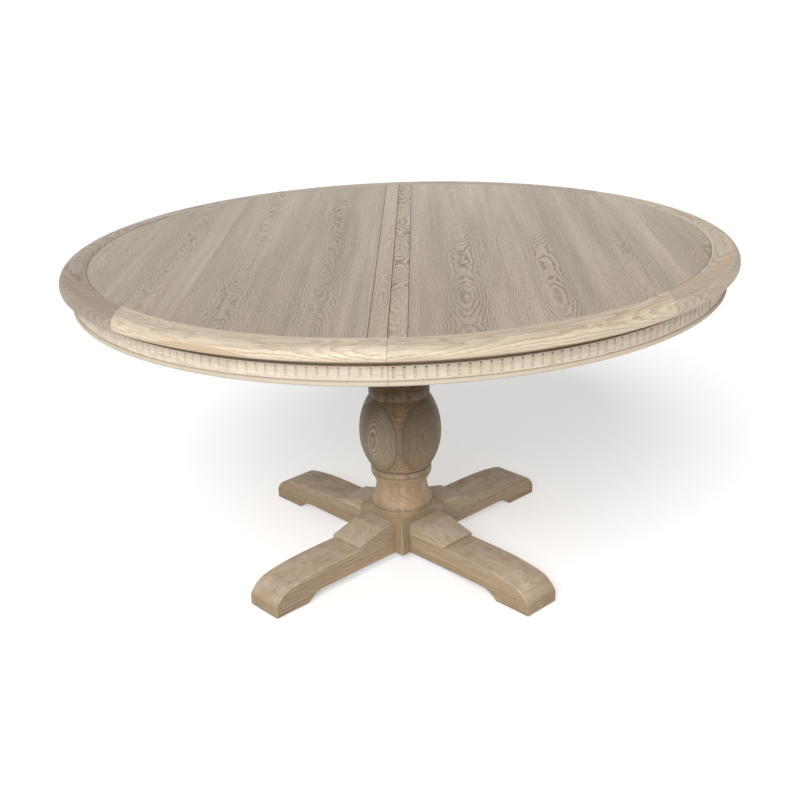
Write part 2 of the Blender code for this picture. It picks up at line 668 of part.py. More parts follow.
def table_half(side, sign):
    """Everything that slides out with one half of the top."""
    made = []
    made += arc_segments(side, sign, "rim", ring_profile(), RING_JOINT_X, OAK_RIM)
    made += arc_segments(side, sign, "apron", apron_profile(), APRON_JOINT_X, OAK_APRON)

    # Field panel and seam strip, both cut from a disc that fits inside the ring.
    panels = []
    for kind, near, far, material in (("field", STRIP_WIDTH + GAP / 2, 1.0, OAK_TOP),
                                      ("seam_strip", GAP, STRIP_WIDTH - GAP / 2, OAK_TOP)):
        low_x, high_x = sorted((sign * near, sign * far))
        panel = piece("%s_%s" % (side, kind), disc_mesh(RING_INNER - GAP, UNDERSIDE, TOP_Z), material)
        keep = cutter(panel.name + "_keep", box_mesh((low_x, -1.0, 0.6), (high_x, 1.0, 0.9)))
        boolean(panel, 'INTERSECT', keep)
        panels.append(panel)
    made += panels

    # Runners and racks.  A runner is full height under its own half, and cut down under the other.
    screw_places = []
    runners = []
    for end, end_sign in ENDS:
        y = end_sign * SLIDE_Y
        outward = end_sign * (1 if side == "left" else -1)
        low_x, high_x = sorted((sign * RUNNER_BACK, -sign * RUNNER_NOSE))
        outline = runner_outline(y, outward)
        runner = piece("%s_runner_%s" % (side, end),
                       extruded_mesh(outline, high_x - low_x, along_x((low_x + high_x) / 2)), BEECH)
        low_y, high_y = sorted((y + outward * (RUNNER_INNER + 0.0005), y + outward * (RUNNER_OUTER - 0.0005)))
        raised_x = sorted((sign * 0.004, sign * (RUNNER_BACK - 0.0005)))
        raised = cutter(runner.name + "_raised", box_mesh((raised_x[0], low_y, RAIL_HIGH - 0.002),
                                                          (raised_x[1], high_y, UNDERSIDE - GAP)))
        boolean(runner, 'UNION', raised)
        runners.append(runner)
        teeth = [(-sign * x, y + outward * d) for x, d in rack_outline(-RACK_START, TRAVEL + RACK_START)]
        made.append(piece("%s_rack_%s" % (side, end),
                          extruded_mesh(teeth, 0.008, along_z(PINION_LOW, PINION_HIGH)), NYLON))
        screw_y = y + outward * (REBATE_BACK + RUNNER_OUTER) / 2
        screw_places += [(sign * x, screw_y) for x in RUNNER_SCREWS]
    holes = screw_holes(side + "_runner_holes", screw_places, RAIL_LOW + RUNNER_SCREW_HEAD,
                        UNDERSIDE + RUNNER_SCREW_TIP)
    for obj in (*runners, panels[0]):
        boolean(obj, 'DIFFERENCE', holes)
    return made + runners, panels


halves = {}
for side, sign in SIDES:
    halves[side] = table_half(side, sign)

# Dowels that line up the two halves, fixed in the left strip.
dowel_places = [Matrix.Translation((0.0, y, DOWEL_Z)) @ Matrix.Rotation(math.pi / 2, 4, 'Y') for y in DOWEL_Y]
dowel_mesh = turned_mesh([(0.0, 0.013), (0.0022, 0.013), (DOWEL_RADIUS, 0.0105), (DOWEL_RADIUS, -0.022),
                          (0.0, -0.022)])
for number, place in enumerate(dowel_places, 1):
    dowel = piece("seam_dowel_%d" % number, dowel_mesh.copy(), BEECH)
    dowel.matrix_world = place
    halves["left"][0].append(dowel)
bore_radius = DOWEL_RADIUS + 0.0005
bore = turned_mesh([(0.0, 0.015), (bore_radius, 0.015), (bore_radius, -0.0225), (0.0, -0.0225)])
dowel_holes = cutter("dowel_holes", joined_mesh(bore, dowel_places))
for side in ("left", "right"):
    boolean(halves[side][1][1], 'DIFFERENCE', dowel_holes)

# ---------------------------------------------------------------- locks under the seam
plate_top = UNDERSIDE - GAP
plate_foot = plate_top - LOCK_PLATE_THICK
stud_mesh = turned_mesh([(0.0, plate_foot + 0.001), (LOCK_PIN_RADIUS, plate_foot + 0.001),
                         (LOCK_PIN_RADIUS, LOCK_HEAD_HIGH), (LOCK_HEAD_RADIUS, LOCK_HEAD_HIGH),
                         (LOCK_HEAD_RADIUS, LOCK_HEAD_LOW), (0.0, LOCK_HEAD_LOW)], 12)


def lock_plate(name, sign, y):
    """A screwed plate with its riveted stud, on one side of the seam."""
    low_x, high_x = sorted(sign * x for x in LOCK_PLATE_ENDS)
    corners = (low_x, y - LOCK_PLATE_HALF, plate_foot), (high_x, y + LOCK_PLATE_HALF, plate_top)
    plate = piece(name, box_mesh(*corners), STEEL)
    stud = cutter(name + "_stud", joined_mesh(stud_mesh, at_places([(sign * LOCK_X, y)])))
    boolean(plate, 'UNION', stud)
    return plate


def lever_outline():
    """A flat lever pointing along +X from its pivot, with a notch that takes the stud from its +Y side."""
    near, far = 2 * LOCK_X - LEVER_NOTCH, 2 * LOCK_X + LEVER_NOTCH
    half = LEVER_HALF_WIDTH
    turns = [math.radians(90 + 20 * i) for i in range(10)]
    rounded = [(half * math.cos(turn), half * math.sin(turn)) for turn in turns]
    return rounded + [(LEVER_LENGTH, -half), (LEVER_LENGTH, half), (far, half), (far, LEVER_NOTCH_FLOOR),
                      (near, LEVER_NOTCH_FLOOR), (near, half)]


plates = []
for end, end_sign in ENDS:
    y = end_sign * LOCK_Y
    for side, sign in SIDES:
        kind = "lock_plate_" if side == "left" else "lock_keeper_"
        plates.append((side, lock_plate(kind + end, sign, y)))
    pivot_hole = circle(LOCK_PIN_RADIUS + 0.0004, 12)
    rest = Matrix.Rotation(end_sign * math.pi / 2, 4, 'Z')
    if end_sign > 0:
        rest = rest @ Matrix.Scale(-1.0, 4, (0.0, 1.0, 0.0))
    shape = extruded_mesh(lever_outline(), LEVER_HIGH - LEVER_LOW, Matrix(), [pivot_hole])
    shape.transform(rest)
    if end_sign > 0:
        shape.flip_normals()
    lever = piece("lock_lever_" + end, shape, STEEL)
    lever.location = (-LOCK_X, y, (LEVER_LOW + LEVER_HIGH) / 2)
    tab_y = sorted((end_sign * (LEVER_LENGTH - 0.0025), end_sign * (LEVER_LENGTH + 0.0005)))
    tab = cutter("lever_tab_" + end, box_mesh((-LEVER_TAB_HALF, tab_y[0], -LEVER_TAB_DROP),
                                              (LEVER_TAB_HALF, tab_y[1], 0.001)))
    tab.location = lever.location
    boolean(lever, 'UNION', tab)

for side, sign in SIDES:
    places = [(sign * LOCK_SCREW_X, end_sign * LOCK_Y + dy) for _, end_sign in ENDS
              for dy in (-LOCK_SCREW_Y, LOCK_SCREW_Y)]
    holes = screw_holes(side + "_lock_holes", places, plate_foot - GAP, UNDERSIDE + LOCK_SCREW_TIP,
                        LOCK_SCREW_RADIUS, LOCK_SCREW_HEAD)
    boolean(halves[side][1][0], 'DIFFERENCE', holes)
    for plate_side, plate in plates:
        if plate_side == side:
            boolean(plate, 'DIFFERENCE', holes)
            halves[side][0].append(plate)

# ---------------------------------------------------------------- bodies
for side, sign in SIDES:
    body = bpy.data.objects.new(side + "_half_slide", None)
    body.location = (0.0, 0.0, (RAIL_LOW + RAIL_HIGH) / 2)
    parts.objects.link(body)
    ride_on(body, halves[side][0])

for obj in parts.objects:
    if obj.type == 'MESH':
        obj.data.shade_smooth()
        obj.data.set_sharp_from_angle(angle=math.radians(35))
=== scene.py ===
"""Round extending table of limed oak on a turned column with four low feet."""
import math

import bmesh
import bpy
import numpy as np
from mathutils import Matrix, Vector


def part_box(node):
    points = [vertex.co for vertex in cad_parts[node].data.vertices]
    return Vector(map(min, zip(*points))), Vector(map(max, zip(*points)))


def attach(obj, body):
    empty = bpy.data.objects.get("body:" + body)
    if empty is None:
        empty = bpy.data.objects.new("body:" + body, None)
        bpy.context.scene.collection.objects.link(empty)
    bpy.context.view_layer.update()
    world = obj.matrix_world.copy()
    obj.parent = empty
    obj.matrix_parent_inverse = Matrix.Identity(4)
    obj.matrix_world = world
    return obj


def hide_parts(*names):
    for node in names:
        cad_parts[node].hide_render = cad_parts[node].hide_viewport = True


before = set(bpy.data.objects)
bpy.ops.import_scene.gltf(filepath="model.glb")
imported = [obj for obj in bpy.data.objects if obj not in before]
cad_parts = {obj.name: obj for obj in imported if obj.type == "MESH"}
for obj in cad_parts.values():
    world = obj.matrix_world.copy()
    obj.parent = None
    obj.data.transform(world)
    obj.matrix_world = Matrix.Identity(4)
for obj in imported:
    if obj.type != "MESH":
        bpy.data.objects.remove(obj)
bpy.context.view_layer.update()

# ------------------------------------------------------------------ feet
# Four feet of weathered oak, each glued up from two boards laid flat, arched underneath and
# rounded at the toe.  They butt against the square end of the column, turned 45 degrees to the seam.


def drawn_in(outline, distance):
    """A closed outline moved inwards: each point goes along the normal of its neighbours' chord."""
    chord = np.roll(outline, -1, 0) - np.roll(outline, 1, 0)
    length = np.maximum(np.linalg.norm(chord, axis=1, keepdims=True), 1e-9)
    normal = np.stack([-chord[:, 1], chord[:, 0]], 1) / length
    turned = np.sum(outline[:, 0] * np.roll(outline[:, 1], -1) - np.roll(outline[:, 0], -1) * outline[:, 1])
    return outline + normal * np.sign(turned) * np.asarray(distance).reshape(-1, 1)


def pairs(first, second):
    """Points from their two coordinates; a single number stands for all of them."""
    return np.stack(np.broadcast_arrays(first, second), 1)


def mesh_piece(name, vertices, faces, sharp=32.0):
    """A mesh object from arrays, its faces turned outwards and shaded smooth below the sharp angle.  Faces of
    more than four corners are flat ends, so all their edges are sharp."""
    mesh = bpy.data.meshes.new(name)
    mesh.from_pydata(vertices.tolist(), [], faces)
    bm = bmesh.new()
    bm.from_mesh(mesh)
    bmesh.ops.recalc_face_normals(bm, faces=bm.faces)
    bm.to_mesh(mesh)
    bm.free()
    mesh.shade_smooth()
    mesh.set_sharp_from_angle(angle=math.radians(sharp))
    corners = np.zeros(len(mesh.polygons), np.int32)
    mesh.polygons.foreach_get("loop_total", corners)
    edge_of = np.zeros(len(mesh.loops), np.int32)
    mesh.loops.foreach_get("edge_index", edge_of)
    marked = np.zeros(len(mesh.edges), bool)
    mesh.edges.foreach_get("use_edge_sharp", marked)
    marked[edge_of[np.repeat(corners > 4, corners)]] = True
    mesh.edges.foreach_set("use_edge_sharp", marked)
    obj = bpy.data.objects.new(name, mesh)
    bpy.context.scene.collection.objects.link(obj)
    return obj


def sewn(stations, closed=False):
    """Faces over stations[i, j]: quads join each closed outline to the next, one face shuts each end."""
    count, around = stations.shape[:2]
    i = np.arange(count if closed else count - 1)[:, None]
    j = np.arange(around)[None, :]
    here, beyond = i * around, ((i + 1) % count) * around
    quads = np.stack([here + j, here + (j + 1) % around, beyond + (j + 1) % around, beyond + j], -1)
    faces = quads.reshape(-1, 4).tolist()
    if not closed:
        faces += [list(range(around)), list(range((count - 1) * around, count * around))]
    return faces


def lofted(name, stations, sharp=32.0, closed=False):
    """A solid through a row of closed outlines."""
    return mesh_piece(name, stations.reshape(-1, 3), sewn(stations, closed), sharp)


def grouped(name, solids, sharp=32.0):
    """Several solids, each an array of stations, as one piece."""
    vertices, faces, start = [], [], 0
    for stations in solids:
        faces += [[start + index for index in face] for face in sewn(stations)]
        vertices.append(stations.reshape(-1, 3))
        start += stations.shape[0] * stations.shape[1]
    return mesh_piece(name, np.concatenate(vertices), faces, sharp)


def placed(piece, body, slot, material, *nodes):
    """Gives a piece its body, its finish and the solids it stands for.  The slot is not used."""
    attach(piece, body)
    piece.data.materials.clear()
    piece.data.materials.append(material)
    if nodes:
        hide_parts(*nodes)
    return piece


def finished(material, *nodes):
    """Gives carried-over solids their finish."""
    for node in nodes:
        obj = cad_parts[node]
        obj.data.materials.clear()
        obj.data.materials.append(material)


def attribute(piece, name, values):
    """Stores one vector per vertex, for a pattern that follows the surface."""
    layer = piece.data.attributes.new(name, 'FLOAT_VECTOR', 'POINT')
    layer.data.foreach_set("vector", np.ascontiguousarray(values, np.float32).reshape(-1))


class Wire:
    """What runs from one node to the next.  Sums, products and comparisons of wires make their math nodes."""

    def __init__(self, finish, socket):
        self.finish = finish
        self.socket = socket

    def __add__(self, other):
        return self.finish.math('ADD', self, other)

    def __sub__(self, other):
        return self.finish.math('SUBTRACT', self, other)

    def __rsub__(self, other):
        return self.finish.math('SUBTRACT', other, self)

    def __mul__(self, other):
        return self.finish.math('MULTIPLY', self, other)

    def __truediv__(self, other):
        return self.finish.math('DIVIDE', self, other)

    def __gt__(self, other):
        return self.finish.math('GREATER_THAN', self, other)

    def __lt__(self, other):
        return self.finish.math('LESS_THAN', self, other)

    def __abs__(self):
        return self.finish.math('ABSOLUTE', self)


class Finish:
    """A material built node by node; every maker below returns the wire that the next one takes."""

    def __init__(self, name):
        self.material = bpy.data.materials.new(name)
        self.material.use_nodes = True
        self.nodes = self.material.node_tree.nodes
        self.links = self.material.node_tree.links
        self.shader = self.nodes["Principled BSDF"]

    def feed(self, socket, value):
        if isinstance(value, Wire):
            self.links.new(value.socket, socket)
        elif isinstance(value, tuple) and len(value) == 3 and socket.type == 'RGBA':
            socket.default_value = (*value, 1.0)
        else:
            socket.default_value = value

    def make(self, kind, *values, **settings):
        """A new node with its settings, and its inputs fed in their order."""
        node = self.nodes.new("ShaderNode" + kind)
        for name, setting in settings.items():
            setattr(node, name, setting)
        for socket, value in zip(node.inputs, values):
            self.feed(socket, value)
        return node

    def math(self, operation, *values):
        return Wire(self, self.make("Math", *values, operation=operation).outputs[0])

    def vector(self, operation, *values):
        return Wire(self, self.make("VectorMath", *values, operation=operation).outputs[0])

    def split(self, vector):
        return [Wire(self, part) for part in self.make("SeparateXYZ", vector).outputs]

    def join(self, x, y, z):
        return Wire(self, self.make("CombineXYZ", x, y, z).outputs[0])

    def noise(self, vector, scales=(1, 1, 1), detail=2.0, roughness=0.5):
        node = self.make("TexNoise")
        self.feed(node.inputs["Vector"], self.vector('MULTIPLY', vector, scales))
        node.inputs["Scale"].default_value = 1.0
        node.inputs["Detail"].default_value = detail
        node.inputs["Roughness"].default_value = roughness
        return Wire(self, node.outputs["Fac"])

    def ramp(self, value, *stops):
        """Stops are (place, brightness or colour)."""
        node = self.make("ValToRGB", value)
        elements = node.color_ramp.elements
        while len(elements) < len(stops):
            elements.new(0.5)
        for element, (place, shade) in zip(elements, stops):
            element.position = place
            element.color = (*shade, 1.0) if isinstance(shade, tuple) else (shade, shade, shade, 1.0)
        return Wire(self, node.outputs["Color"])

    def mix(self, share, first, second, blend='MIX'):
        node = self.make("Mix", data_type='RGBA', blend_type=blend)
        self.feed(node.inputs["Factor"], share)
        self.feed(node.inputs["A"], first)
        self.feed(node.inputs["B"], second)
        return Wire(self, node.outputs["Result"])

    def shaded(self, colour, by):
        return self.mix(1.0, colour, by, 'MULTIPLY')

    def place(self, centre=(0, 0, 0), turn=(0, 0, 0)):
        """The piece's coordinates seen from a board's own corner: X across, Y along the grain, Z through."""
        coordinates = self.make("TexCoord")
        node = self.make("Mapping", vector_type='TEXTURE')
        node.inputs["Location"].default_value = centre
        node.inputs["Rotation"].default_value = turn
        self.links.new(coordinates.outputs["Object"], node.inputs["Vector"])
        return Wire(self, node.outputs[0])

    def stored(self, name):
        return Wire(self, self.make("Attribute", attribute_name=name).outputs["Vector"])

    def upwards(self):
        """How far the surface looks up: 1 on a top, 0 on a side, -1 underneath."""
        return self.split(Wire(self, self.make("NewGeometry").outputs["Normal"]))[2]

    def coat(self, colour, roughness):
        self.feed(self.shader.inputs["Base Color"], colour)
        self.feed(self.shader.inputs["Roughness"], roughness)

    def relief(self, height, depth, strength=1.0):
        node = self.make("Bump")
        node.inputs["Strength"].default_value = strength
        node.inputs["Distance"].default_value = depth
        self.feed(node.inputs["Height"], height)
        self.links.new(node.outputs[0], self.shader.inputs["Normal"])


def oak_figure(finish, board, pitch, heart, wander, figure, seed, leaves=None, ripple=0.9, jag=0.5):
    """Growth rings met by a sawn face, as (line, pore, cloud, joint) brightness sockets.

    A ring is a distance from the pith, sqrt(x^2 + (z + heart + wander * n(y))^2), over the pitch; n is a
    slow noise along the grain, which closes the rings into arches and eyes.  Ripple and jag, in pitches, are
    how far long and short noises push the rings about.  Leaves is (start, width, slip): the face is cut into
    leaves of that width, each the same figure slipped along by a little.
    """
    x, y, z = finish.split(board)
    joint = 0.0
    if leaves:
        start, width, slip = leaves
        across = (x - start) / width
        leaf = finish.math('FLOOR', across)
        x = (across - leaf - 0.5) * width
        y = y + leaf * slip
        seed = leaf * 0.13 + seed
        joint = abs(x) > width / 2 - 0.0005
    local = finish.join(x, y, z)
    shifted = finish.vector('ADD', local, finish.join(seed, seed, seed))
    slow = finish.noise(finish.join(seed, y, 0.0), (1, figure, 1), 1.0, 0.4) - 0.5
    drift = finish.noise(finish.join(y, seed, 3.0), (figure * 0.7, 1, 1), 1.0) - 0.5
    side = x + drift * 0.03
    depth = z + heart + slow * wander
    reach = finish.math('SQRT', side * side + depth * depth)
    waves = finish.noise(shifted, (16, 1.6, 16), 2.0) - 0.5
    tremble = finish.noise(shifted, (90, 5, 90), 2.0) - 0.5
    jags = finish.noise(shifted, (70, 34, 70), 2.0, 0.6) - 0.5
    rings = reach / pitch + waves * (ripple * 2)
    rings = rings + tremble * (ripple * 0.7)
    rings = rings + jags * (jag * 2)
    early = finish.ramp(finish.math('FRACT', rings), (0.0, 1.0), (0.12, 0.95), (0.42, 0.25), (0.88, 0.0),
                        (0.97, 1.0))
    faded = finish.ramp(finish.noise(shifted, (22, 1.2, 22), 2.0), (0.30, 0.25), (0.65, 1.0))
    heartwood = finish.ramp(reach / 0.1, (0.15, 0.75), (0.35, 1.0), (0.75, 0.6))
    line = early * faded * heartwood
    dashes = finish.ramp(finish.noise(shifted, (1100, 34, 1100), 1.0), (0.56, 0.0), (0.66, 1.0))
    pore = dashes * (early * 0.75 + 0.25)
    cloud = finish.noise(shifted, (9, 0.7, 9), 3.0, 0.6)
    return line, pore, cloud, joint


def oak(name, pale, deep, line_colour, pore_colour, board=None, pitch=0.004, heart=0.03, wander=0.06,
        figure=3.0,
        seed=0.0, lines=0.6, pores=0.5, leaves=None, ripple=0.9, jag=0.5, rough=0.52, streaks=0.12,
        extra=None):
    """Oak: a pale ground clouded with a deeper tone, ring lines and open pores over it."""
    finish = Finish(name)
    board = board(finish) if board else finish.place()
    line, pore, cloud, joint = oak_figure(
        finish, board, pitch, heart, wander, figure, seed, leaves, ripple, jag)
    colour = finish.mix(finish.ramp(cloud, (0.32, 0.0), (0.68, 1.0)), pale, deep)
    fibre = finish.noise(finish.vector('ADD', board, (seed, 1.7, 0.3)), (300, 5, 300), 3.0, 0.7)
    streak = finish.noise(finish.vector('ADD', board, (seed, 0.4, 5.1)), (45, 0.9, 45), 2.0, 0.6)
    colour = finish.shaded(colour, finish.ramp(fibre, (0.30, 1 - streaks), (0.70, 1 + streaks * 0.45)))
    colour = finish.shaded(colour, finish.ramp(streak, (0.30, 1 - streaks * 0.8), (0.70, 1 + streaks * 0.4)))
    colour = finish.mix(line * lines, colour, line_colour)
    colour = finish.mix(pore * pores, colour, pore_colour)
    if leaves:
        colour = finish.mix(joint * 0.25, colour, pore_colour)
    if extra:
        colour = extra(finish, colour)
    finish.coat(colour, pore * 0.25 + fibre * 0.10 + (rough - 0.05))
    finish.shader.inputs["IOR"].default_value = 1.42
    hollow = line * 0.35 + pore
    finish.relief(fibre * 0.3 - hollow, 0.00025, 0.6)
    return finish.material


FOOT_ANGLES = {"front_left": 225, "front_right": 315, "back_right": 45, "back_left": 135}
foot_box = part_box("leg_back_right")
post_half = 0.075
glue_gap = 0.0003
foot_half_width = 0.049
flat_end = 0.223
fall_length = 0.1835
fall_drop = 0.0133
fall_end = 0.4065
foot_top = foot_box[1].z
foot_reach = 0.449
pad_inner = 0.354
pad_low = foot_box[0].z
arch_high = 0.0233
arch_start = 0.3068
glue_line_z = 0.0515


def foot_outline():
    """The foot from the side: a flat top, a cubic fall, a rounded toe, a flat pad and a parabolic arch."""
    inner = post_half + glue_gap
    t = np.linspace(0, 1, 26)
    fall = pairs(flat_end + fall_length * t, foot_top - fall_drop * t ** 3)
    u = np.linspace(0, 1, 22)[1:, None]
    bends = np.array([[fall_end, foot_top - fall_drop], [0.4225, 0.0595], [foot_reach, 0.0386],
                      [foot_reach, 0.0236]])
    toe = ((1 - u) ** 3 * bends[0] + 3 * u * (1 - u) ** 2 * bends[1]
           + 3 * u * u * (1 - u) * bends[2] + u ** 3 * bends[3])
    a = np.linspace(0, math.pi / 2, 5)
    heel = pairs(foot_reach - 0.0015 * (1 - np.cos(a)), pad_low + 0.0015 * (1 - np.sin(a)))
    s = np.linspace(1, 0, 18)
    arch = pairs(arch_start + (pad_inner - arch_start) * s, arch_high - (arch_high - pad_low) * s * s)
    top = pairs(np.linspace(inner, flat_end, 8)[:-1], foot_top)
    under = pairs(np.linspace(arch_start, inner, 10)[1:], arch_high)
    return np.concatenate([top, fall, toe, heel, arch, under])


def slab_stations(outline, half_width, arris, square_to, steps=5):
    """A board cut to an outline in (reach, height): its stations go across the width, and near both faces the
    outline is drawn in along a quarter circle, so that the arrises are round; up to square_to they stay
    square."""
    a = np.linspace(0, math.pi / 2, steps)
    offsets = half_width - arris * (1 - np.sin(a))
    insets = arris * (1 - np.cos(a))
    across = np.concatenate([-offsets[::-1], offsets])
    inset = np.concatenate([insets[::-1], insets])
    share = np.clip((outline[:, 0] - square_to) / 0.004, 0, 1)
    stations = []
    for y, d in zip(across, inset):
        shape = drawn_in(outline, d * share)
        stations.append(np.stack([shape[:, 0], np.full(len(shape), y), shape[:, 1]], 1))
    return np.array(stations)


def swung(points, angle):
    """Points turned about Z by degrees."""
    a = math.radians(angle)
    turn = np.array([[math.cos(a), -math.sin(a), 0], [math.sin(a), math.cos(a), 0], [0, 0, 1]])
    return points @ turn.T


def foot_ground(finish, colour):
    """A thin glue line with browner wood below it, stains in slow patches, painted shade that darkens the
    faces that don't look up, and a grey bloom on the faces that look up."""
    place = finish.place()
    height = finish.split(place)[2]
    lower = finish.ramp(height - (glue_line_z - 0.5), (0.4995, 1.0), (0.5005, 0.0))
    colour = finish.mix(lower * 0.30, colour, (0.30, 0.205, 0.120))
    near = abs(height - glue_line_z)
    glue = near < 0.0007
    colour = finish.mix(glue * 0.5, colour, (0.14, 0.10, 0.07))
    stain = finish.ramp(finish.noise(place, (14, 14, 30), 3.0, 0.65), (0.50, 0.0), (0.68, 1.0))
    colour = finish.mix(stain * 0.5, colour, (0.27, 0.19, 0.12))
    upwards = finish.upwards()
    # painted shade: faces that don't look up are darkened against the tops
    colour = finish.shaded(colour, finish.ramp(upwards, (0.2, (0.84, 0.82, 0.80)), (0.7, (1.0, 1.0, 1.0))))
    patches = finish.noise(place, (25, 25, 25), 3.0, 0.6)
    bloom = finish.ramp(upwards, (0.35, 0.0), (0.9, 1.0)) * finish.ramp(patches, (0.35, 0.15), (0.65, 0.55))
    return finish.mix(bloom, colour, (0.48, 0.41, 0.345))


for number, (corner, angle) in enumerate(FOOT_ANGLES.items()):
    swing = math.radians(angle - 90)
    material = oak("foot_oak_" + corner, (0.49, 0.380, 0.248), (0.37, 0.272, 0.170), (0.17, 0.118, 0.070),
                   (0.13, 0.090, 0.055), board=lambda f: f.place((0, 0, 0.02), (0, 0, swing)), pitch=0.0048,
                   heart=0.045, wander=0.05, figure=4.0, seed=3.0 + number * 1.7, lines=0.9, pores=0.75,
                   jag=0.8, streaks=0.32, extra=foot_ground)
    stations = slab_stations(foot_outline(), foot_half_width, 0.003, post_half)
    placed(lofted("foot_" + corner, swung(stations, angle)), "pedestal", "leg_oak", material,
           "leg_" + corner)

# ------------------------------------------------------------------ felt pads
# A pad of grey felt glued under each foot, 2 mm thick and set in from the edges, so that the table doesn't
# mark the floor.

felt = Finish("felt")
felt_fluff = felt.noise(felt.place(), (900, 900, 900), 4.0, 0.7)
felt.coat(felt.ramp(felt_fluff, (0.3, (0.05, 0.045, 0.04)), (0.7, (0.11, 0.10, 0.09))), 0.95)
felt.relief(felt_fluff, 0.0004)
finished(felt.material, *["felt_pad_" + corner for corner in FOOT_ANGLES])

# ------------------------------------------------------------------ saddle blocks
# A block glued on each foot against the column, to hide the joint between them.  It is flat on top and then
# slopes to a small step.

saddle_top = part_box("saddle_back_right")[1].z


def saddle_outline():
    """The block from the side, with small rounds where its top breaks to the slope and at its nose."""
    inner = post_half + glue_gap
    seat = foot_top + glue_gap
    bend = np.linspace(0, 1, 9)[:, None]
    knee = np.array([0.113, saddle_top])
    nose = np.array([0.190, 0.0840])
    slope = (nose - knee) / np.linalg.norm(nose - knee)
    before, after = knee - np.array([0.006, 0]), knee + slope * 0.006
    knee_round = (1 - bend) ** 2 * before + 2 * bend * (1 - bend) * knee + bend ** 2 * after
    above, below = nose - slope * 0.003, nose - np.array([0, 0.003])
    nose_round = (1 - bend) ** 2 * above + 2 * bend * (1 - bend) * nose + bend ** 2 * below
    return np.concatenate([[[inner, saddle_top]], knee_round, nose_round, [[nose[0], seat], [inner, seat]]])


for number, (corner, angle) in enumerate(FOOT_ANGLES.items()):
    swing = math.radians(angle - 90)
    material = oak("saddle_oak_" + corner, (0.52, 0.42, 0.30), (0.42, 0.325, 0.225), (0.28, 0.20, 0.13),
                   (0.2, 0.14, 0.09), board=lambda f: f.place((0, 0, 0.05), (0, 0, swing)), pitch=0.005,
                   heart=0.03, wander=0.09, figure=5.0, seed=11.0 + number * 2.3, lines=0.8, pores=0.75,
                   jag=0.8, streaks=0.28, extra=foot_ground)
    stations = slab_stations(saddle_outline(), foot_half_width, 0.0018, post_half)
    placed(lofted("saddle_block_" + corner, swung(stations, angle)), "pedestal", "leg_oak", material,
           "saddle_" + corner)

# ------------------------------------------------------------------ column
# One turning of oak with square ends.  Its core is a square post; cheeks glued on the four sides
# make it thick enough for the urn, so their rings show as eyes, and the core as a strip between them.

column_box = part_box("column")
urn_radius = 0.0998
neck_radius = 0.0623
fillet_radius = 0.0748
belly_z = 0.315
mirror_height = 0.6415
shoulder_z = 0.1295


def neck_side(bead_radius):
    """The turned side from the shoulder up to the bead, as (radius, height): a fillet, a parabolic flare, the
    neck, half a cosine out to the bead, and the bead's rounded top."""
    t = np.linspace(0, 1, 16)
    fillet = pairs(fillet_radius, np.array([shoulder_z - 0.002, 0.1390, 0.1410]))
    flare = pairs(neck_radius + 0.0123 * (1 - t) ** 2, 0.1415 + 0.042 * t)
    sweep = pairs(neck_radius + (bead_radius - neck_radius) * (1 - np.cos(math.pi * t[1:])) / 2,
                  0.1835 + 0.0325 * t[1:])
    a = np.linspace(0.1, 1, 6) * math.pi / 2
    bead = pairs(bead_radius - 0.0022 * (1 - np.cos(a)), 0.2215 + 0.0085 * np.sin(a))
    return np.concatenate([fillet, flare, sweep, bead])


def column_side():
    """The whole turning: neck, an urn whose radius falls from its belly by a power of the height, and the
    same neck upside down."""
    u, v = np.linspace(1, 0, 26)[:, None], np.linspace(0, 1, 30)[1:, None]
    belly = np.array([urn_radius, belly_z])
    foot = belly + np.hstack([(0.0729 - urn_radius) * u ** 2.05, (0.2302 - belly_z) * u])
    crown = belly + np.hstack([(0.0722 - urn_radius) * v ** 2.3, (0.4113 - belly_z) * v])
    upper = neck_side(0.0736)[::-1] * [1, -1] + [0, mirror_height]
    return np.concatenate([neck_side(0.0746), foot, crown, upper])


def square_reach(a, half, corner):
    """Distance from the axis to the side of a square with rounded corners, which point along X and Y."""
    from_corner = np.abs((a + math.pi / 4) % (math.pi / 2) - math.pi / 4)
    flat = half / np.cos(math.pi / 4 - from_corner)
    middle = (half - corner) * math.sqrt(2)
    touch = math.atan2(corner * math.sin(math.pi / 4), middle + corner * math.cos(math.pi / 4))
    inside = np.clip(corner ** 2 - (middle * np.sin(from_corner)) ** 2, 0, None)
    return np.where(from_corner < touch, middle * np.cos(from_corner) + np.sqrt(inside), flat)


def column_stations():
    """Rings round the axis: on the squares the radius is the lesser of the square's side and a turned
    shoulder, which sweeps in to the turning by a power of a sine."""
    near = np.radians(np.linspace(-1.6, 1.6, 9))
    quarter = np.concatenate([near, np.radians(np.arange(3.0, 87.1, 1.75))])
    a = np.concatenate([quarter + k * math.pi / 2 for k in range(4)])
    side = square_reach(a, post_half, 0.003)
    step = np.linspace(0, 1, 24)
    shoulder = pairs(0.1070 - 0.0320 * np.sin(step * math.pi / 2) ** 1.3, shoulder_z - 0.0165 * (1 - step))
    foot_z, head_z = column_box[0].z, column_box[1].z
    rings = [(side - 0.0015, foot_z), (side, foot_z + 0.0015)]
    rings += [(np.minimum(side, r), z) for r, z in shoulder]
    rings += [(np.full_like(a, r), z) for r, z in column_side()]
    rings += [(np.minimum(side, r), mirror_height - z) for r, z in shoulder[::-1]]
    rings += [(side, head_z)]
    return np.array([np.stack([r * np.cos(a), r * np.sin(a), np.full_like(a, z)], 1) for r, z in rings])


def column_board(finish):
    """Coordinates of the core: across, up the grain, and through."""
    x, y, z = finish.split(finish.place((0, 0, 0), (0, 0, math.radians(30))))
    return finish.join(x, z, y + 0.004)


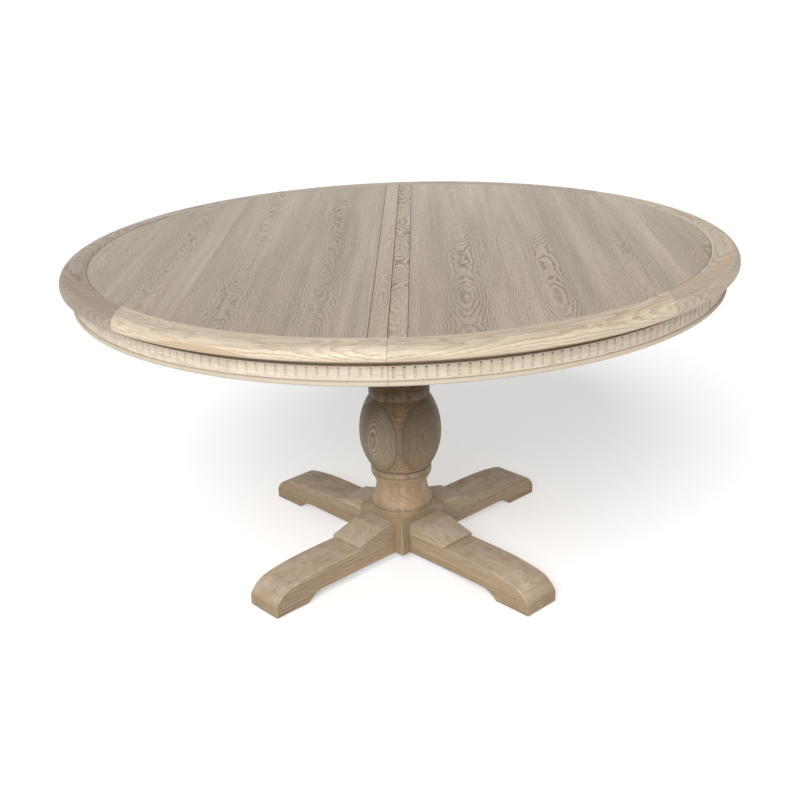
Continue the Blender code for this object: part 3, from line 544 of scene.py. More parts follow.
CHEEKS = {
    # board coordinate outwards: (axis, side, depth of the pith outside the face, pitch, ground, deep, line)
    "front_left": (0, -1, -0.070, 0.0030, (0.190, 0.138, 0.083), (0.140, 0.098, 0.056), (0.60, 0.50, 0.365)),
    "front_right": (1, -1, -0.120, 0.0034, (0.205, 0.145, 0.084), (0.165, 0.113, 0.063),
                    (0.31, 0.235, 0.150)),
    "back_right": (0, 1, -0.080, 0.0032, (0.230, 0.170, 0.104), (0.185, 0.133, 0.080), (0.38, 0.300, 0.205)),
    "back_left": (1, 1, -0.095, 0.0030, (0.240, 0.178, 0.110), (0.195, 0.141, 0.085), (0.40, 0.315, 0.215)),
}


def column_ground(finish, colour):
    """Cheeks wherever the wood lies further out than the core is thick.  The pith of each cheek is outside
    its face, so the rings close into ovals round the belly; lime fills them, so that they are pale.
    Painted light makes the foot lighter; painted shade darkens the top of the column under the table top,
    and the creases at the bead and the shoulder."""
    core = finish.split(finish.place((0, 0, 0), (0, 0, math.pi / 4)))
    for number, (axis, sign, heart, pitch, ground, deep, line) in enumerate(CHEEKS.values()):
        out = core[axis] * sign - post_half
        board = finish.join(core[1 - axis] + 0.008, core[2], out)
        rings, pore, cloud, _ = oak_figure(finish, board, pitch, heart, 0.020, 6.0, 21.0 + number * 3.1,
                                           ripple=0.35, jag=0.45)
        wood = finish.mix(finish.ramp(cloud, (0.35, 0.0), (0.65, 1.0)), ground, deep)
        fibre = finish.noise(finish.vector('ADD', board, (number, 2.0, 0.0)), (260, 7, 260), 3.0, 0.7)
        wood = finish.shaded(wood, finish.ramp(fibre, (0.30, 0.75), (0.70, 1.15)))
        wood = finish.mix(rings * 0.95, wood, line)
        wood = finish.mix(pore * 0.5, wood, (0.08, 0.055, 0.035))
        seam = finish.ramp(abs(out), (0.0, 1.0), (0.0010, 0.0))
        colour = finish.mix(out > 0.0, colour, wood)
        colour = finish.mix(seam * 0.6, colour, (0.11, 0.08, 0.05))
    height = finish.split(finish.place())[2]
    # painted light: the foot of the column is made lighter
    painted_foot_light = finish.ramp(height * 2.0, (0.40, 1.0), (0.50, 0.0))
    colour = finish.mix(painted_foot_light * 0.30, colour, (0.56, 0.42, 0.28))
    # painted shade under the top: the column darkens towards its head
    shaded = finish.ramp(height * 2.0, (0.56, 1.0), (0.80, 0.62), (0.86, 0.42))
    colour = finish.shaded(colour, shaded)
    # painted shade in the creases at the bead and the shoulder
    for middle, reach, strength in ((0.2305, 0.0030, 0.75), (0.2150, 0.0035, 0.55), (0.1300, 0.0050, 0.50)):
        painted_crease_shade = finish.ramp(abs(height - middle), (0.0, 1.0), (reach, 0.0))
        colour = finish.mix(painted_crease_shade * strength, colour, (0.08, 0.055, 0.035))
    return colour


column_oak = oak("column_oak", (0.41, 0.290, 0.172), (0.27, 0.182, 0.102), (0.11, 0.068, 0.037),
                 (0.09, 0.060, 0.036),
                 board=column_board, pitch=0.0042, heart=0.012, wander=0.03, figure=3.0, seed=1.3, lines=1.0,
                 streaks=0.42, extra=column_ground)
placed(lofted("turned_column", column_stations(), 40.0), "pedestal", "column_oak", column_oak, "column")

# ------------------------------------------------------------------ cross plate
# A steel cross let in under the feet.  Wood screws go up through it into the column and the four feet,
# and tie them together.


def turned(side, steps=24):
    """A shape turned about Z, from its (radius, height) points in order, as stations for grouped()."""
    a = np.linspace(0, math.tau, steps, endpoint=False)
    side = np.asarray(side)
    return np.stack([side[:, :1] * np.cos(a), side[:, :1] * np.sin(a), np.repeat(side[:, 1:], steps, 1)], -1)


def screw(shank, head, head_high, length):
    """A pan-headed wood screw, head down: a low dome with a cross recess, then a shank with a thread's
    ridges.  The recess is a depth that falls off from the two lines of a cross."""
    dome = np.linspace(0.06, 1, 7) * math.pi / 2
    face = pairs(head * np.sin(dome), head_high * (1 - np.cos(dome)) - head_high)
    ridges = np.arange(0.003, length - 0.005, 0.0009)
    thread = pairs(np.where(np.arange(len(ridges)) % 2, shank * 0.74, shank), ridges)
    point = [[shank * 0.7, length - 0.004], [shank * 0.1, length]]
    shape = turned(np.concatenate([face, [[head, 0], [shank, 0]], thread, point]))
    x, y, z = shape[..., 0], shape[..., 1], shape[..., 2]
    arm = np.minimum(np.abs(x), np.abs(y))
    depth = np.clip(1 - arm / (head * 0.2), 0, 1) * np.clip(1.6 - np.hypot(x, y) / (head * 0.42), 0, 1)
    shape[..., 2] = np.where(z < 0, np.minimum(z + depth * head_high * 0.7, 0), z)
    return shape


def screws(name, body, places, z, shank=0.00215, head=0.0043, head_high=0.0026, length=0.040):
    """Screws at (x, y) places, each head bearing upwards at the height z."""
    shape = screw(shank, head, head_high, length)
    solids = [shape + [x, y, z] for x, y in places]
    placed(grouped(name, solids), body, "steel", zinc)


def zinc_finish(name, base, spangle):
    """Zinc plating: patches of slightly different grey and roughness, with fine rolling marks."""
    finish = Finish(name)
    patches = finish.noise(finish.place(), (spangle, spangle, spangle), 3.0, 0.7)
    marks = finish.noise(finish.place(), (40, 1500, 1500), 1.0)
    colour = finish.ramp(patches, (0.3, tuple(base * s for s in (0.88, 0.89, 0.92))),
                         (0.7, (base, base, base * 1.02)))
    finish.coat(finish.mix(0.12, colour, finish.ramp(marks, (0.3, 0.4), (0.7, 1.0))), patches * 0.2 + 0.28)
    finish.shader.inputs["Metallic"].default_value = 1.0
    finish.relief(marks, 0.0001, 0.3)
    return finish.material


zinc = zinc_finish("zinc", 0.56, 130)
finished(zinc, "leg_cross_plate", "gear_pin_front", "gear_pin_back")
cross_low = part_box("leg_cross_plate")[0].z
cross_places = [(distance * math.cos(math.radians(angle)), distance * math.sin(math.radians(angle)))
                for angle in FOOT_ANGLES.values() for distance in (0.045, 0.115, 0.175)]
screws("cross_plate_screws", "pedestal", cross_places, cross_low)

# ------------------------------------------------------------------ plate on the column
# Thirteen plies of birch, fastened into the end grain of the column by four zinc-plated bolts.  It carries
# the centre rails of the slides.

ply_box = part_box("top_plate")
ply_count = 13


def plywood_finish():
    """Plies of equal thickness: along the edges every other ply shows end grain, which is darker; the faces
    have long grain."""
    finish = Finish("plywood")
    board = finish.place()
    x, y, z = finish.split(board)
    level = (z - ply_box[0].z) / ((ply_box[1].z - ply_box[0].z) / ply_count)
    odd = finish.math('FRACT', level * 0.5) > 0.5
    glue = finish.ramp(abs(finish.math('FRACT', level) - 0.5),
                       (0.42, 0.0), (0.5, 1.0))
    grain = finish.noise(board, (6, 160, 160), 3.0, 0.6)
    face = finish.ramp(grain, (0.3, (0.50, 0.37, 0.22)), (0.7, (0.62, 0.48, 0.31)))
    end = finish.ramp(finish.noise(board, (500, 500, 60), 2.0), (0.3, (0.22, 0.15, 0.085)),
                      (0.7, (0.36, 0.25, 0.15)))
    edge = finish.mix(odd * 0.75, face, end)
    edge = finish.mix(glue * 0.6, edge, (0.09, 0.055, 0.035))
    facing = abs(finish.upwards())
    finish.coat(finish.mix(facing > 0.6, edge, face), finish.ramp(grain, (0.2, 0.62), (0.8, 0.74)))
    finish.relief(grain, 0.0002, 0.5)
    return finish.material


finished(plywood_finish(), "top_plate")
finished(zinc_finish("bright_zinc", 0.62,
                     260), *["plate_bolt_" + side for side in ("left", "right", "front", "back")])

# ------------------------------------------------------------------ slides
# Two sets of beech slides.  A centre rail is screwed up through the plate; each half of the top has two
# runners whose tongues run in its grooves, and which are screwed to the underside of the top.

beech = oak("beech", (0.58, 0.40, 0.245), (0.50, 0.335, 0.195), (0.38, 0.24, 0.135), (0.30, 0.18, 0.10),
            board=lambda f: f.place((0, 0, 0.70), (0, 0, math.pi / 2)), pitch=0.0055, heart=0.09,
            wander=0.03, figure=1.5, seed=41.0, lines=0.3, pores=0.35, rough=0.5)
slide_nodes = [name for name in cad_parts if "runner" in name or "centre_rail" in name]
finished(beech, *slide_nodes, *["seam_dowel_%d" % number for number in (1, 2, 3, 4)])

slide_y = 0.190
ply_low = ply_box[0].z
screws("centre_rail_screws", "pedestal",
       [(x, y) for y in (-slide_y, slide_y) for x in (-0.180, -0.070, 0.070, 0.180)], ply_low, length=0.038)
HALVES = {"left": -1, "right": 1}
for side, sign in HALVES.items():
    places = [(sign * x, end * (slide_y - sign * 0.03365)) for end in (-1, 1) for x in (0.110, 0.330, 0.560)]
    screws(side + "_runner_screws", side + "_half", places, 0.7220, length=0.043)

# ------------------------------------------------------------------ equalizer gears
# Moulded nylon pinions turn on pins in the centre rails, each between a rack on the left runner and one on
# the right, so that both halves of the top draw out by the same amount.

nylon = Finish("nylon")
nylon_flow = nylon.noise(nylon.place(), (60, 60, 60), 3.0, 0.6)
nylon.coat(nylon.ramp(nylon_flow, (0.3, (0.74, 0.74, 0.69)), (0.7, (0.82, 0.82, 0.78))),
           nylon.ramp(nylon_flow, (0.3, 0.36), (0.7, 0.46)))
nylon.shader.inputs["Subsurface Weight"].default_value = 0.1
nylon.shader.inputs["Subsurface Radius"].default_value = (0.004, 0.004, 0.003)
finished(nylon.material, *[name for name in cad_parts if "rack" in name or "pinion" in name])

# ------------------------------------------------------------------ field panels
# Two half discs of board, veneered with limed oak.  The leaves of veneer were cut one after another and
# laid side by side, so that the same figure repeats across each half with its grain along the seam.

top_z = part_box("left_field")[1].z
under_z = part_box("left_field")[0].z
ring_inner = 0.689
gap = 0.0003
strip_width = 0.035
arris = 0.0009


def panel_stations(outline):
    """A flat panel: its outline at the underside and at the top, where it is drawn in for a small arris."""
    levels = ((under_z, 0.0), (top_z - arris, 0.0), (top_z, arris))
    flat = [(z, drawn_in(outline, inset)) for z, inset in levels]
    return np.array([np.column_stack([shape, np.full(len(shape), z)]) for z, shape in flat])


def half_disc(sign, near, radius, steps=220):
    """The part of a disc beyond a line parallel to the seam, going round its arc from end to end."""
    reach = math.acos(near / radius)
    a = np.linspace(-reach, reach, steps)
    arc = pairs(sign * radius * np.cos(a), radius * np.sin(a))
    chord = pairs(sign * near, np.linspace(arc[-1, 1], arc[0, 1], 32)[1:-1])
    return np.concatenate([arc, chord])


def backing(finish, colour):
    """Grime lies in the arris of every joint, and the underside has plain straight-grained veneer."""
    board = finish.place()
    below = top_z - finish.split(board)[2]
    sunk = finish.ramp(below * 100, (0.015, 0.0), (0.08, 1.0)) * (below < 0.0035)
    x, y, _ = finish.split(board)
    from_axis = finish.math('SQRT', x * x + y * y)
    sunk = sunk * (from_axis < ring_inner + 0.002)
    colour = finish.mix(sunk * 0.8, colour, (0.10, 0.085, 0.07))
    down = finish.upwards() < -0.5
    stripe = finish.noise(board, (70, 1.2, 1), 4.0, 0.65)
    plain = finish.ramp(stripe, (0.3, (0.36, 0.25, 0.15)), (0.7, (0.50, 0.375, 0.24)))
    return finish.mix(down, colour, plain)


def limed(finish, colour):
    """The colour is paler and cooler towards the back."""
    y = finish.split(finish.place())[1]
    share = finish.ramp(y * 0.7 + 0.5, (0.15, 0.0), (0.9, 1.0))
    colour = finish.shaded(colour, finish.mix(share, (1.10, 1.08, 1.05), (1.24, 1.25, 1.29)))
    return backing(finish, colour)


VENEER_FIGURE = {
    "left": dict(pale=(0.445, 0.381, 0.308), deep=(0.372, 0.314, 0.249), seed=50.0, heart=0.026,
                 wander=0.130,
                 figure=2.6, jag=1.1),
    "right": dict(pale=(0.470, 0.402, 0.325), deep=(0.395, 0.333, 0.264), seed=63.0, heart=0.030,
                  wander=0.160,
                  figure=2.0, jag=0.8),
}
for side, sign in HALVES.items():
    veneer = oak(side + "_veneer", line_colour=(0.160, 0.125, 0.092), pore_colour=(0.150, 0.120, 0.092),
                 board=lambda f: f.place((0, 0, top_z)), pitch=0.0047, lines=0.78,
                 pores=0.4, streaks=0.15, leaves=(sign * 0.0575, 0.1745, 0.012 * sign), rough=0.5,
                 extra=limed,
                 **VENEER_FIGURE[side])
    outline = half_disc(sign, strip_width + gap / 2, ring_inner - gap)
    placed(lofted(side + "_field_panel", panel_stations(outline), 30.0), side + "_half", "top_veneer",
           veneer,
           side + "_field")

# ------------------------------------------------------------------ seam strips
# A strip of solid oak along each side of the seam, limed like the field.  Four beech dowels in the left one
# fit holes in the right one and line up the halves.

STRIP_FIGURE = {
    "left": dict(seed=83.0, heart=0.015, wander=0.060, figure=4.5, pitch=0.0040, lines=0.5, jag=0.6),
    "right": dict(seed=77.0, heart=0.012, wander=0.190, figure=3.5, pitch=0.0062, lines=1.0, jag=0.9),
}
for side, sign in HALVES.items():
    strip_oak = oak(side + "_strip_oak", (0.500, 0.425, 0.335), (0.420, 0.350, 0.270), (0.105, 0.078, 0.055),
                    (0.150, 0.118, 0.090), board=lambda f: f.place((sign * 0.014, 0, top_z)), pores=0.4,
                    rough=0.5, extra=limed, **STRIP_FIGURE[side])
    near, far, radius = gap, strip_width - gap / 2, ring_inner - gap
    x = np.linspace(near, far, 9)
    end = pairs(x, -np.sqrt(radius ** 2 - x ** 2))
    y = np.linspace(-1, 1, 42)[1:-1, None]
    outer = np.hstack([np.full_like(y, far), y * math.sqrt(radius ** 2 - far ** 2)])
    inner = np.hstack([np.full_like(y, near), -y * math.sqrt(radius ** 2 - near ** 2)])
    outline = np.concatenate([end, outer, end[::-1] * [1, -1], inner]) * [sign, 1]
    placed(lofted(side + "_strip", panel_stations(outline), 30.0), side + "_half", "seam_oak", strip_oak,
           side + "_seam_strip")

# ------------------------------------------------------------------ rim
# A ring of solid oak round the field, in three segments to each half, butted on lines parallel to the seam.
# Its edge is run to a thumbnail moulding below a small quirk, and the lower arris is rounded.

ring_arris = 0.7315
top_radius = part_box("right_rim_side")[1].x
ring_joint = 0.523
quirk_depth = 0.0012
foot_round = 0.0045
seam_gap = 0.0003


def rim_side():
    """The ring's section as (radius, height), from the inner edge over the top: an arris, the flat, the
    quirk, a quarter ellipse, and a rounded foot."""
    inner = np.array([[ring_inner, under_z], [ring_inner, top_z - arris], [ring_inner + arris, top_z]])
    flat = pairs(np.linspace(ring_inner + 0.008, ring_arris - 0.0006, 6), top_z)
    nail_top = top_z - quirk_depth
    quirk = np.array([[ring_arris - 0.0001, top_z - 0.0003], [ring_arris, nail_top]])
    foot_z = under_z + foot_round
    a = np.linspace(math.pi / 2, 0, 24)[1:]
    nail = pairs(ring_arris + (top_radius - ring_arris) * np.cos(a),
                 foot_z + (nail_top - foot_z) * np.sin(a))
    b = np.linspace(0, math.pi / 2, 7)[1:]
    foot = pairs(top_radius - foot_round * (1 - np.cos(b)), foot_z - foot_round * np.sin(b))
    under = pairs(np.linspace(top_radius - 0.012, ring_inner + 0.01, 5), under_z)
    return np.concatenate([inner, flat, quirk, nail, foot, under])


def arc_stations(profile, place, sign, joint, angles):
    """A profile carried round the axis through the angles, between end planes parallel to the seam: at the
    ends each point turns to the angle whose cosine is the plane's distance over the point's own radius."""
    radius = profile[:, 0]
    near, far = np.arccos(np.clip(seam_gap / radius, -1, 1)), np.arccos(np.clip(joint / radius, -1, 1))
    side_end = np.arccos(np.clip((joint + gap) / radius, -1, 1))
    first, last = {"front": (-near, -far), "side": (-side_end, side_end), "back": (far, near)}[place]
    inside = angles[(angles > first.max() + 0.0015) & (angles < last.min() - 0.0015)]
    turn = np.concatenate([first[None], np.repeat(inside[:, None], len(radius), 1), last[None]])
    return turn, np.stack([sign * radius * np.cos(turn), radius * np.sin(turn),
                           np.repeat(profile[None, :, 1], len(turn), 0)], -1)


def grain_along(piece, stations, turn, middle, drift=0.3):
    """Stores for each point how far it lies across, along and above the segment's board.  The grain runs
    along the arc and drifts across it by a share of the arc's own rise."""
    radius = np.hypot(stations[..., 0], stations[..., 1])
    along = turn - middle
    across = radius - 0.72 + drift * 0.72 * (1 - np.cos(along))
    attribute(piece, "grain", np.stack([across, along * 0.72, stations[..., 2] - 0.778], -1))


RIM_OAK = {
    # pale, deep, line: the front pieces came out of the bleach lighter, the left side piece browner
    ("left", "front"): ((0.69, 0.588, 0.458), (0.61, 0.503, 0.375), (0.37, 0.28, 0.195)),
    ("left", "side"): ((0.57, 0.490, 0.415), (0.38, 0.310, 0.245), (0.14, 0.100, 0.070)),
    ("left", "back"): ((0.55, 0.483, 0.415), (0.47, 0.405, 0.335), (0.26, 0.205, 0.16)),
    ("right", "front"): ((0.63, 0.535, 0.415), (0.56, 0.460, 0.340), (0.35, 0.26, 0.175)),
    ("right", "side"): ((0.59, 0.507, 0.405), (0.51, 0.425, 0.325), (0.31, 0.23, 0.155)),
    ("right", "back"): ((0.51, 0.445, 0.380), (0.44, 0.378, 0.312), (0.26, 0.205, 0.16)),
}
ARC_MIDDLE = {"front": -1.18, "side": 0.0, "back": 1.18}


def browner_front(finish, colour):
    """The left side piece is browner towards its front end."""
    colour = backing(finish, colour)
    y = finish.split(finish.place())[1]
    share = finish.ramp((0.15 - y) * 1.2, (0.0, 0.0), (0.5, 1.0))
    return finish.mix(share * 0.46, colour, (0.23, 0.165, 0.115))


def lamination(finish, colour):
    """The lower lamination of the left front piece shows a darker, arched figure on the moulding."""
    colour = backing(finish, colour)
    _, along, z = finish.split(finish.stored("grain"))
    height = z + 0.0225
    centre = (along - patch_middle) / patch_half
    lid = 0.0125 - centre * centre * 0.010
    inside = (height < lid) * (abs(centre) < 1.0)
    rings = centre * centre * 3.2 + height * 330
    wobble = finish.noise(finish.stored("grain"), (60, 25, 60), 2.0)
    rings = finish.math('FRACT', rings + wobble * 1.6)
    figure = finish.mix(finish.ramp(rings, (0.0, 1.0), (0.45, 0.0), (1.0, 0.9)), (0.53, 0.42, 0.29),
                        (0.29, 0.205, 0.125))
    return finish.mix(inside * 0.85, colour, figure)


def golden_arris(finish, colour):
    """A golden streak of heartwood runs along the arris of the right pieces, away from the seam."""
    colour = backing(finish, colour)
    across, _, z = finish.split(finish.stored("grain"))
    x, y, _ = finish.split(finish.place())
    off = abs(across - 0.013 + z * 0.4)
    wide = finish.noise(finish.stored("grain"), (30, 5, 30), 2.0)
    band = finish.ramp(off / (wide * 0.024), (0.3, 1.0), (1.0, 0.0))
    share = finish.ramp(x, (0.30, 0.0), (0.52, 0.50))
    share = share * finish.ramp(y + 0.5, (0.25, 1.0), (0.40, 0.0))
    return finish.mix(band * share, colour, (0.50, 0.345, 0.195))


def shaded_moulding(finish, colour, more):
    """The moulded edge is painted a little darker than the flat of the ring, as painted shade."""
    upwards = finish.upwards()
    flat = finish.ramp(upwards, (0.80, 0.0), (0.97, 1.0))
    return more(finish, finish.shaded(colour, finish.mix(flat, (0.90, 0.90, 0.89), (1.0, 1.0, 1.0))))


patch_middle = 0.060
patch_half = 0.105
RIM_EXTRA = {("left", "side"): browner_front, ("left", "front"): lamination,
             ("right", "front"): golden_arris,
             ("right", "side"): golden_arris}
rim_profile = rim_side()
rim_angles = np.linspace(-math.pi / 2, math.pi / 2, 241)
for number, ((side, place), (pale, deep, line)) in enumerate(RIM_OAK.items()):
    material = oak("%s_%s_rim_oak" % (side, place), pale, deep, line, (0.22, 0.17, 0.125),
                   board=lambda f: f.stored("grain"), pitch=0.0036, heart=0.055, wander=0.050, figure=3.0,
                   seed=90.0 + 2.3 * number, lines=0.75, pores=0.5, ripple=0.5, rough=0.48, streaks=0.18,
                   extra=lambda f, c: shaded_moulding(f, c, RIM_EXTRA.get((side, place), backing)))
    turn, stations = arc_stations(rim_profile, place, HALVES[side], ring_joint, rim_angles)
    piece = lofted("%s_%s_rim" % (side, place), stations, 28.0)
    grain_along(piece, stations, turn, ARC_MIDDLE[place])
    placed(piece, side + "_half", "rim_oak", material, "%s_rim_%s" % (side, place))

# ------------------------------------------------------------------ apron
# A curved band of oak under the rim, with a bead along its foot and short upright flutes all round, brushed
# with whitewash that stays in the flutes.

apron_radius = 0.7225
apron_thick = 0.020
apron_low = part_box("right_apron_side")[0].z
apron_joint = 0.626
bead_top = 0.711
bead_radius = 0.727
FLUTE_PITCH = math.pi / 120
flute_half = 0.0023
flute_depth = 0.0014
apron_shoulder = 0.7385
apron_rebate = 0.007
flute_head = 0.7348
flute_tail = bead_top + 0.0045


def apron_side():
    """The band's section from the inner top over the outer face: a rebate that leaves a shadow gap under
    the rim, the face, a scribed line, the bead, the foot."""
    high = under_z - gap
    back = apron_radius - apron_rebate
    top = np.array([[apron_radius - apron_thick, high], [back, high], [back, high - 0.004],
                    [back, apron_shoulder],
                    [back + 0.002, apron_shoulder], [apron_radius - 0.0006, apron_shoulder]])
    rows = np.concatenate([apron_shoulder - np.array([0.0006]),
                           flute_head + np.linspace(2.5, -2.5, 11) * 1e-3,
                           np.linspace(flute_head - 0.004, bead_top + 0.0012, 10)])
    face = pairs(apron_radius, rows)
    scribe = np.array([[apron_radius, bead_top + 0.0004], [apron_radius - 0.0008, bead_top - 0.0001],
                       [apron_radius + 0.0006, bead_top - 0.0006]])
    a = np.linspace(1.25, -1.35, 13)
    middle = (bead_top - 0.0012 + apron_low) / 2
    bead = pairs(bead_radius - 0.0045 * (1 - np.cos(a)),
                 middle + (bead_top - middle - 0.0012) * np.sin(a) / 0.97)
    foot = np.array([[apron_radius - 0.0005, apron_low], [apron_radius - apron_thick, apron_low]])
    rear = pairs(apron_radius - apron_thick, np.linspace(apron_low, high, 6)[1:-1])
    return np.concatenate([top, face, scribe, bead, foot, rear])


def flute(turn, profile):
    """How deep the flutes cut at each point of the face, and where their heads are pitted: a round-bottomed
    groove about the nearest flute's line, between a head and a run-out above the bead."""
    aside = ((turn / FLUTE_PITCH) % 1.0 - 0.5) * FLUTE_PITCH * apron_radius
    height = profile[:, 1]
    on_face = (profile[:, 0] > apron_radius - 0.001) & (height > bead_top + 0.001)
    round_bottom = np.sqrt(np.clip(1 - (aside / flute_half) ** 2, 0, 1))
    run_out = np.sqrt(np.clip((height - flute_tail) / 0.004, 0, 1))
    start = np.clip((flute_head + 0.0015 - height) / 0.0015, 0, 1)
    pit = np.clip(1 - ((aside / 0.0019) ** 2 + ((height - flute_head) / 0.0019) ** 2), 0, 1) * on_face
    return round_bottom * run_out * start * on_face, pit


def flute_angles():
    """Nine stations across each flute and one midway to the next, over half a turn."""
    across = np.array([-1.25, -1.0, -0.87, -0.6, 0.0, 0.6, 0.87, 1.0, 1.25]) * flute_half / apron_radius
    across = np.concatenate([[-FLUTE_PITCH / 2], across])
    centres = (np.arange(-60, 60) + 0.5) * FLUTE_PITCH
    return (centres[:, None] + across).reshape(-1)


def whitewash(finish, colour, walls):
    """Whitewash rubbed over the band, curly figure under it, grey grime in the flutes, painted shade in their
    pitted heads and in the shadow gap under the rim.  The bead is greyer.  Walls is how far the grime keeps
    to the flutes' walls and leaves their floor bare."""
    board = finish.stored("grain")
    cut, pit, height = finish.split(finish.stored("flute"))
    patch = finish.ramp(finish.noise(board, (9, 9, 9), 3.0, 0.6), (0.40, 0.0), (0.62, 1.0))
    colour = finish.mix(patch * 0.35, colour, (0.63, 0.575, 0.49))
    brown = finish.ramp(finish.noise(finish.vector('ADD', board, (3, 5, 1)), (7, 7, 7), 3.0, 0.6),
                        (0.52, 0.0), (0.66, 1.0))
    colour = finish.mix(brown * 0.40, colour, (0.50, 0.385, 0.265))
    curl = finish.noise(finish.vector('ADD', board, (0, 0, 4)), (60, 14, 60), 3.0, 0.6)
    curl = finish.ramp(finish.math('FRACT', curl * 9.0), (0.0, 1.0), (0.35, 0.0), (1.0, 0.0))
    colour = finish.mix(curl * 0.38, colour, (0.38, 0.285, 0.19))
    floor = finish.ramp(cut, (0.80, 0.0), (0.97, 0.85))
    wall = finish.ramp(cut, (0.0, 0.0), (0.25, 1.0), (0.60, 1.0), (0.85, 0.15))
    grime = finish.mix(walls, floor, wall)
    colour = finish.mix(grime * 0.75, colour, (0.26, 0.225, 0.205))
    # painted shade: the pitted heads of the flutes are made nearly black
    colour = finish.mix(finish.ramp(pit * walls, (0.05, 0.0), (0.45, 1.0)), colour, (0.07, 0.055, 0.042))
    # painted shade in the shadow gap under the rim
    gap_painted_shade = height > apron_shoulder - 0.0003
    colour = finish.mix(gap_painted_shade * 0.35, colour, (0.16, 0.13, 0.105))
    bead = height < bead_top - 0.0004
    colour = finish.mix(bead * 0.70, colour, (0.43, 0.37, 0.29))
    scribe = finish.ramp(abs(height - bead_top) * 100,
                         (0.04, 1.0), (0.12, 0.0))
    return finish.mix(scribe * 0.6, colour, (0.22, 0.18, 0.145))


apron_profile = apron_side()
apron_angles = flute_angles()
for number, (side, sign) in enumerate(HALVES.items()):
    walls = 0.30 if side == "left" else 0.85
    for place in ("front", "side", "back"):
        material = oak("%s_%s_apron_oak" % (side, place), (0.62, 0.540, 0.425), (0.56, 0.475, 0.360),
                       (0.42, 0.33, 0.23), (0.33, 0.26, 0.19), board=lambda f: f.stored("grain"),
                       pitch=0.0036, heart=0.03, wander=0.03, figure=4.0, lines=0.45,
                       seed=120.0 + 3.1 * number + len(place), pores=0.5, rough=0.55, streaks=0.16,
                       extra=lambda f, c: whitewash(f, c, walls))
        turn, stations = arc_stations(apron_profile, place, sign, apron_joint, apron_angles)
        cut, pit = flute(turn, apron_profile)
        radius = np.hypot(stations[..., 0], stations[..., 1])
        stations[..., :2] *= (1 - flute_depth * (cut + pit) / radius)[..., None]
        piece = lofted("%s_%s_apron" % (side, place), stations, 45.0)
        across = apron_profile[:, 1] - 0.72
        board = np.stack([np.broadcast_to(across, turn.shape), (turn - ARC_MIDDLE[place]) * 0.72,
                          radius - apron_radius], -1)
        attribute(piece, "grain", board)
        attribute(piece, "flute", np.stack([cut, pit, stations[..., 2]], -1))
        placed(piece, side + "_half", "apron_oak", material, "%s_apron_%s" % (side, place))

# ------------------------------------------------------------------ glue blocks
# Pine blocks glued into the corner between the apron and the underside of the top, seven to each half, with
# their ends chamfered a little.

block_oak = oak("block_pine", (0.62, 0.46, 0.28), (0.55, 0.39, 0.22), (0.40, 0.26, 0.13), (0.42, 0.28, 0.15),
                board=lambda f: f.place((0, 0, 0.7)), pitch=0.003, heart=0.04, wander=0.02, figure=3.0,
                seed=150.0,
                lines=0.6, pores=0.1, rough=0.65)
block_section = np.array([[0.7016, 0.0], [0.7016, -0.028], [0.6980, -0.028], [0.6796, -0.008],
                          [0.6796, 0.0]])
for side, sign in HALVES.items():
    blocks = []
    for angle in (-78, -52, -26, 0, 26, 52, 78):
        stations = []
        for across, inset in ((-0.015, 0.0008), (-0.0142, 0), (0.0142, 0), (0.015, 0.0008)):
            shape = drawn_in(block_section, inset)
            stations.append(np.stack([shape[:, 0], np.full(5, across), shape[:, 1] + under_z - gap], 1))
        blocks.append(swung(np.array(stations), angle if sign > 0 else 180 - angle))
    placed(grouped(side + "_glue_blocks", blocks), side + "_half", "beech", block_oak)

# ------------------------------------------------------------------ locks
# Two levers under the seam pull the halves together: each swings on a stud of the left plate and hooks the
# stud of the right one.  Pressed steel, zinc plated, screwed to the underside.

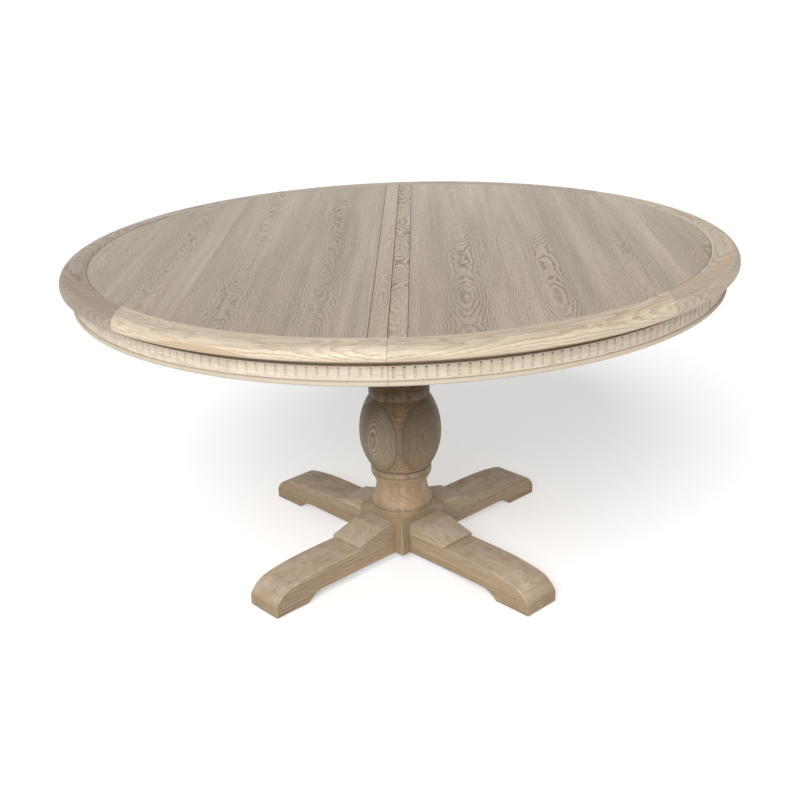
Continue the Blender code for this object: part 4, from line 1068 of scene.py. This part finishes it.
finished(zinc_finish("lock_zinc", 0.58, 180), *[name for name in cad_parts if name.startswith("lock_")])
lock_low = under_z - gap - 0.002
for side, sign in HALVES.items():
    places = [(sign * 0.052, end * 0.420 + step) for end in (-1, 1) for step in (-0.009, 0.009)]
    screws(side + "_lock_screws", side + "_half", places, lock_low - 0.0001, 0.0016, 0.0034, 0.0018, 0.013)

# ------------------------------------------------------------------ studio
# A pale floor that glows a little, so that shadows on it stay faint, an even grey surround that is darker
# overhead, and a wide soft light from the front.

floor_finish = Finish("floor")
floor_finish.coat((0.58, 0.58, 0.585), 0.95)
floor_finish.shader.inputs["Emission Color"].default_value = (1.0, 1.0, 1.0, 1.0)
floor_finish.shader.inputs["Emission Strength"].default_value = 0.42
bpy.ops.mesh.primitive_plane_add(size=600.0)
floor = bpy.context.object
floor.name = "floor"
floor.data.materials.append(floor_finish.material)

world = bpy.data.worlds.new("surround")
bpy.context.scene.world = world
world.use_nodes = True
world_nodes, world_links = world.node_tree.nodes, world.node_tree.links
direction = world_nodes.new("ShaderNodeTexCoord").outputs["Generated"]
height = world_nodes.new("ShaderNodeSeparateXYZ")
shade = world_nodes.new("ShaderNodeValToRGB")
world_links.new(direction, height.inputs[0])
world_links.new(height.outputs[2], shade.inputs[0])
world_links.new(shade.outputs[0], world_nodes["Background"].inputs["Color"])
for element, (place, grey) in zip(shade.color_ramp.elements, ((0.0, 0.58), (0.35, 0.44))):
    element.position = place
    element.color = (grey, grey, grey, 1.0)

sun_data = bpy.data.lights.new("front_light", 'SUN')
sun_data.energy = 3.5
sun_data.angle = math.radians(32)
sun = bpy.data.objects.new("front_light", sun_data)
bpy.context.scene.collection.objects.link(sun)
sun.rotation_euler = Vector((0.22, 1.0, -0.78)).to_track_quat('-Z', 'Y').to_euler()

camera_data = bpy.data.cameras.new("camera")
camera_data.lens = 50.917
camera_data.sensor_width = 36.0
camera_data.shift_x = 0.05967
camera_data.shift_y = 0.04312
camera = bpy.data.objects.new("camera", camera_data)
bpy.context.scene.collection.objects.link(camera)
camera.location = (0.063865, -2.540181, 1.386991)
camera.rotation_euler = (math.radians(66.9642), math.radians(2.5121), math.radians(3.0127))
bpy.context.scene.camera = camera
bpy.context.scene.view_settings.view_transform = 'Standard'
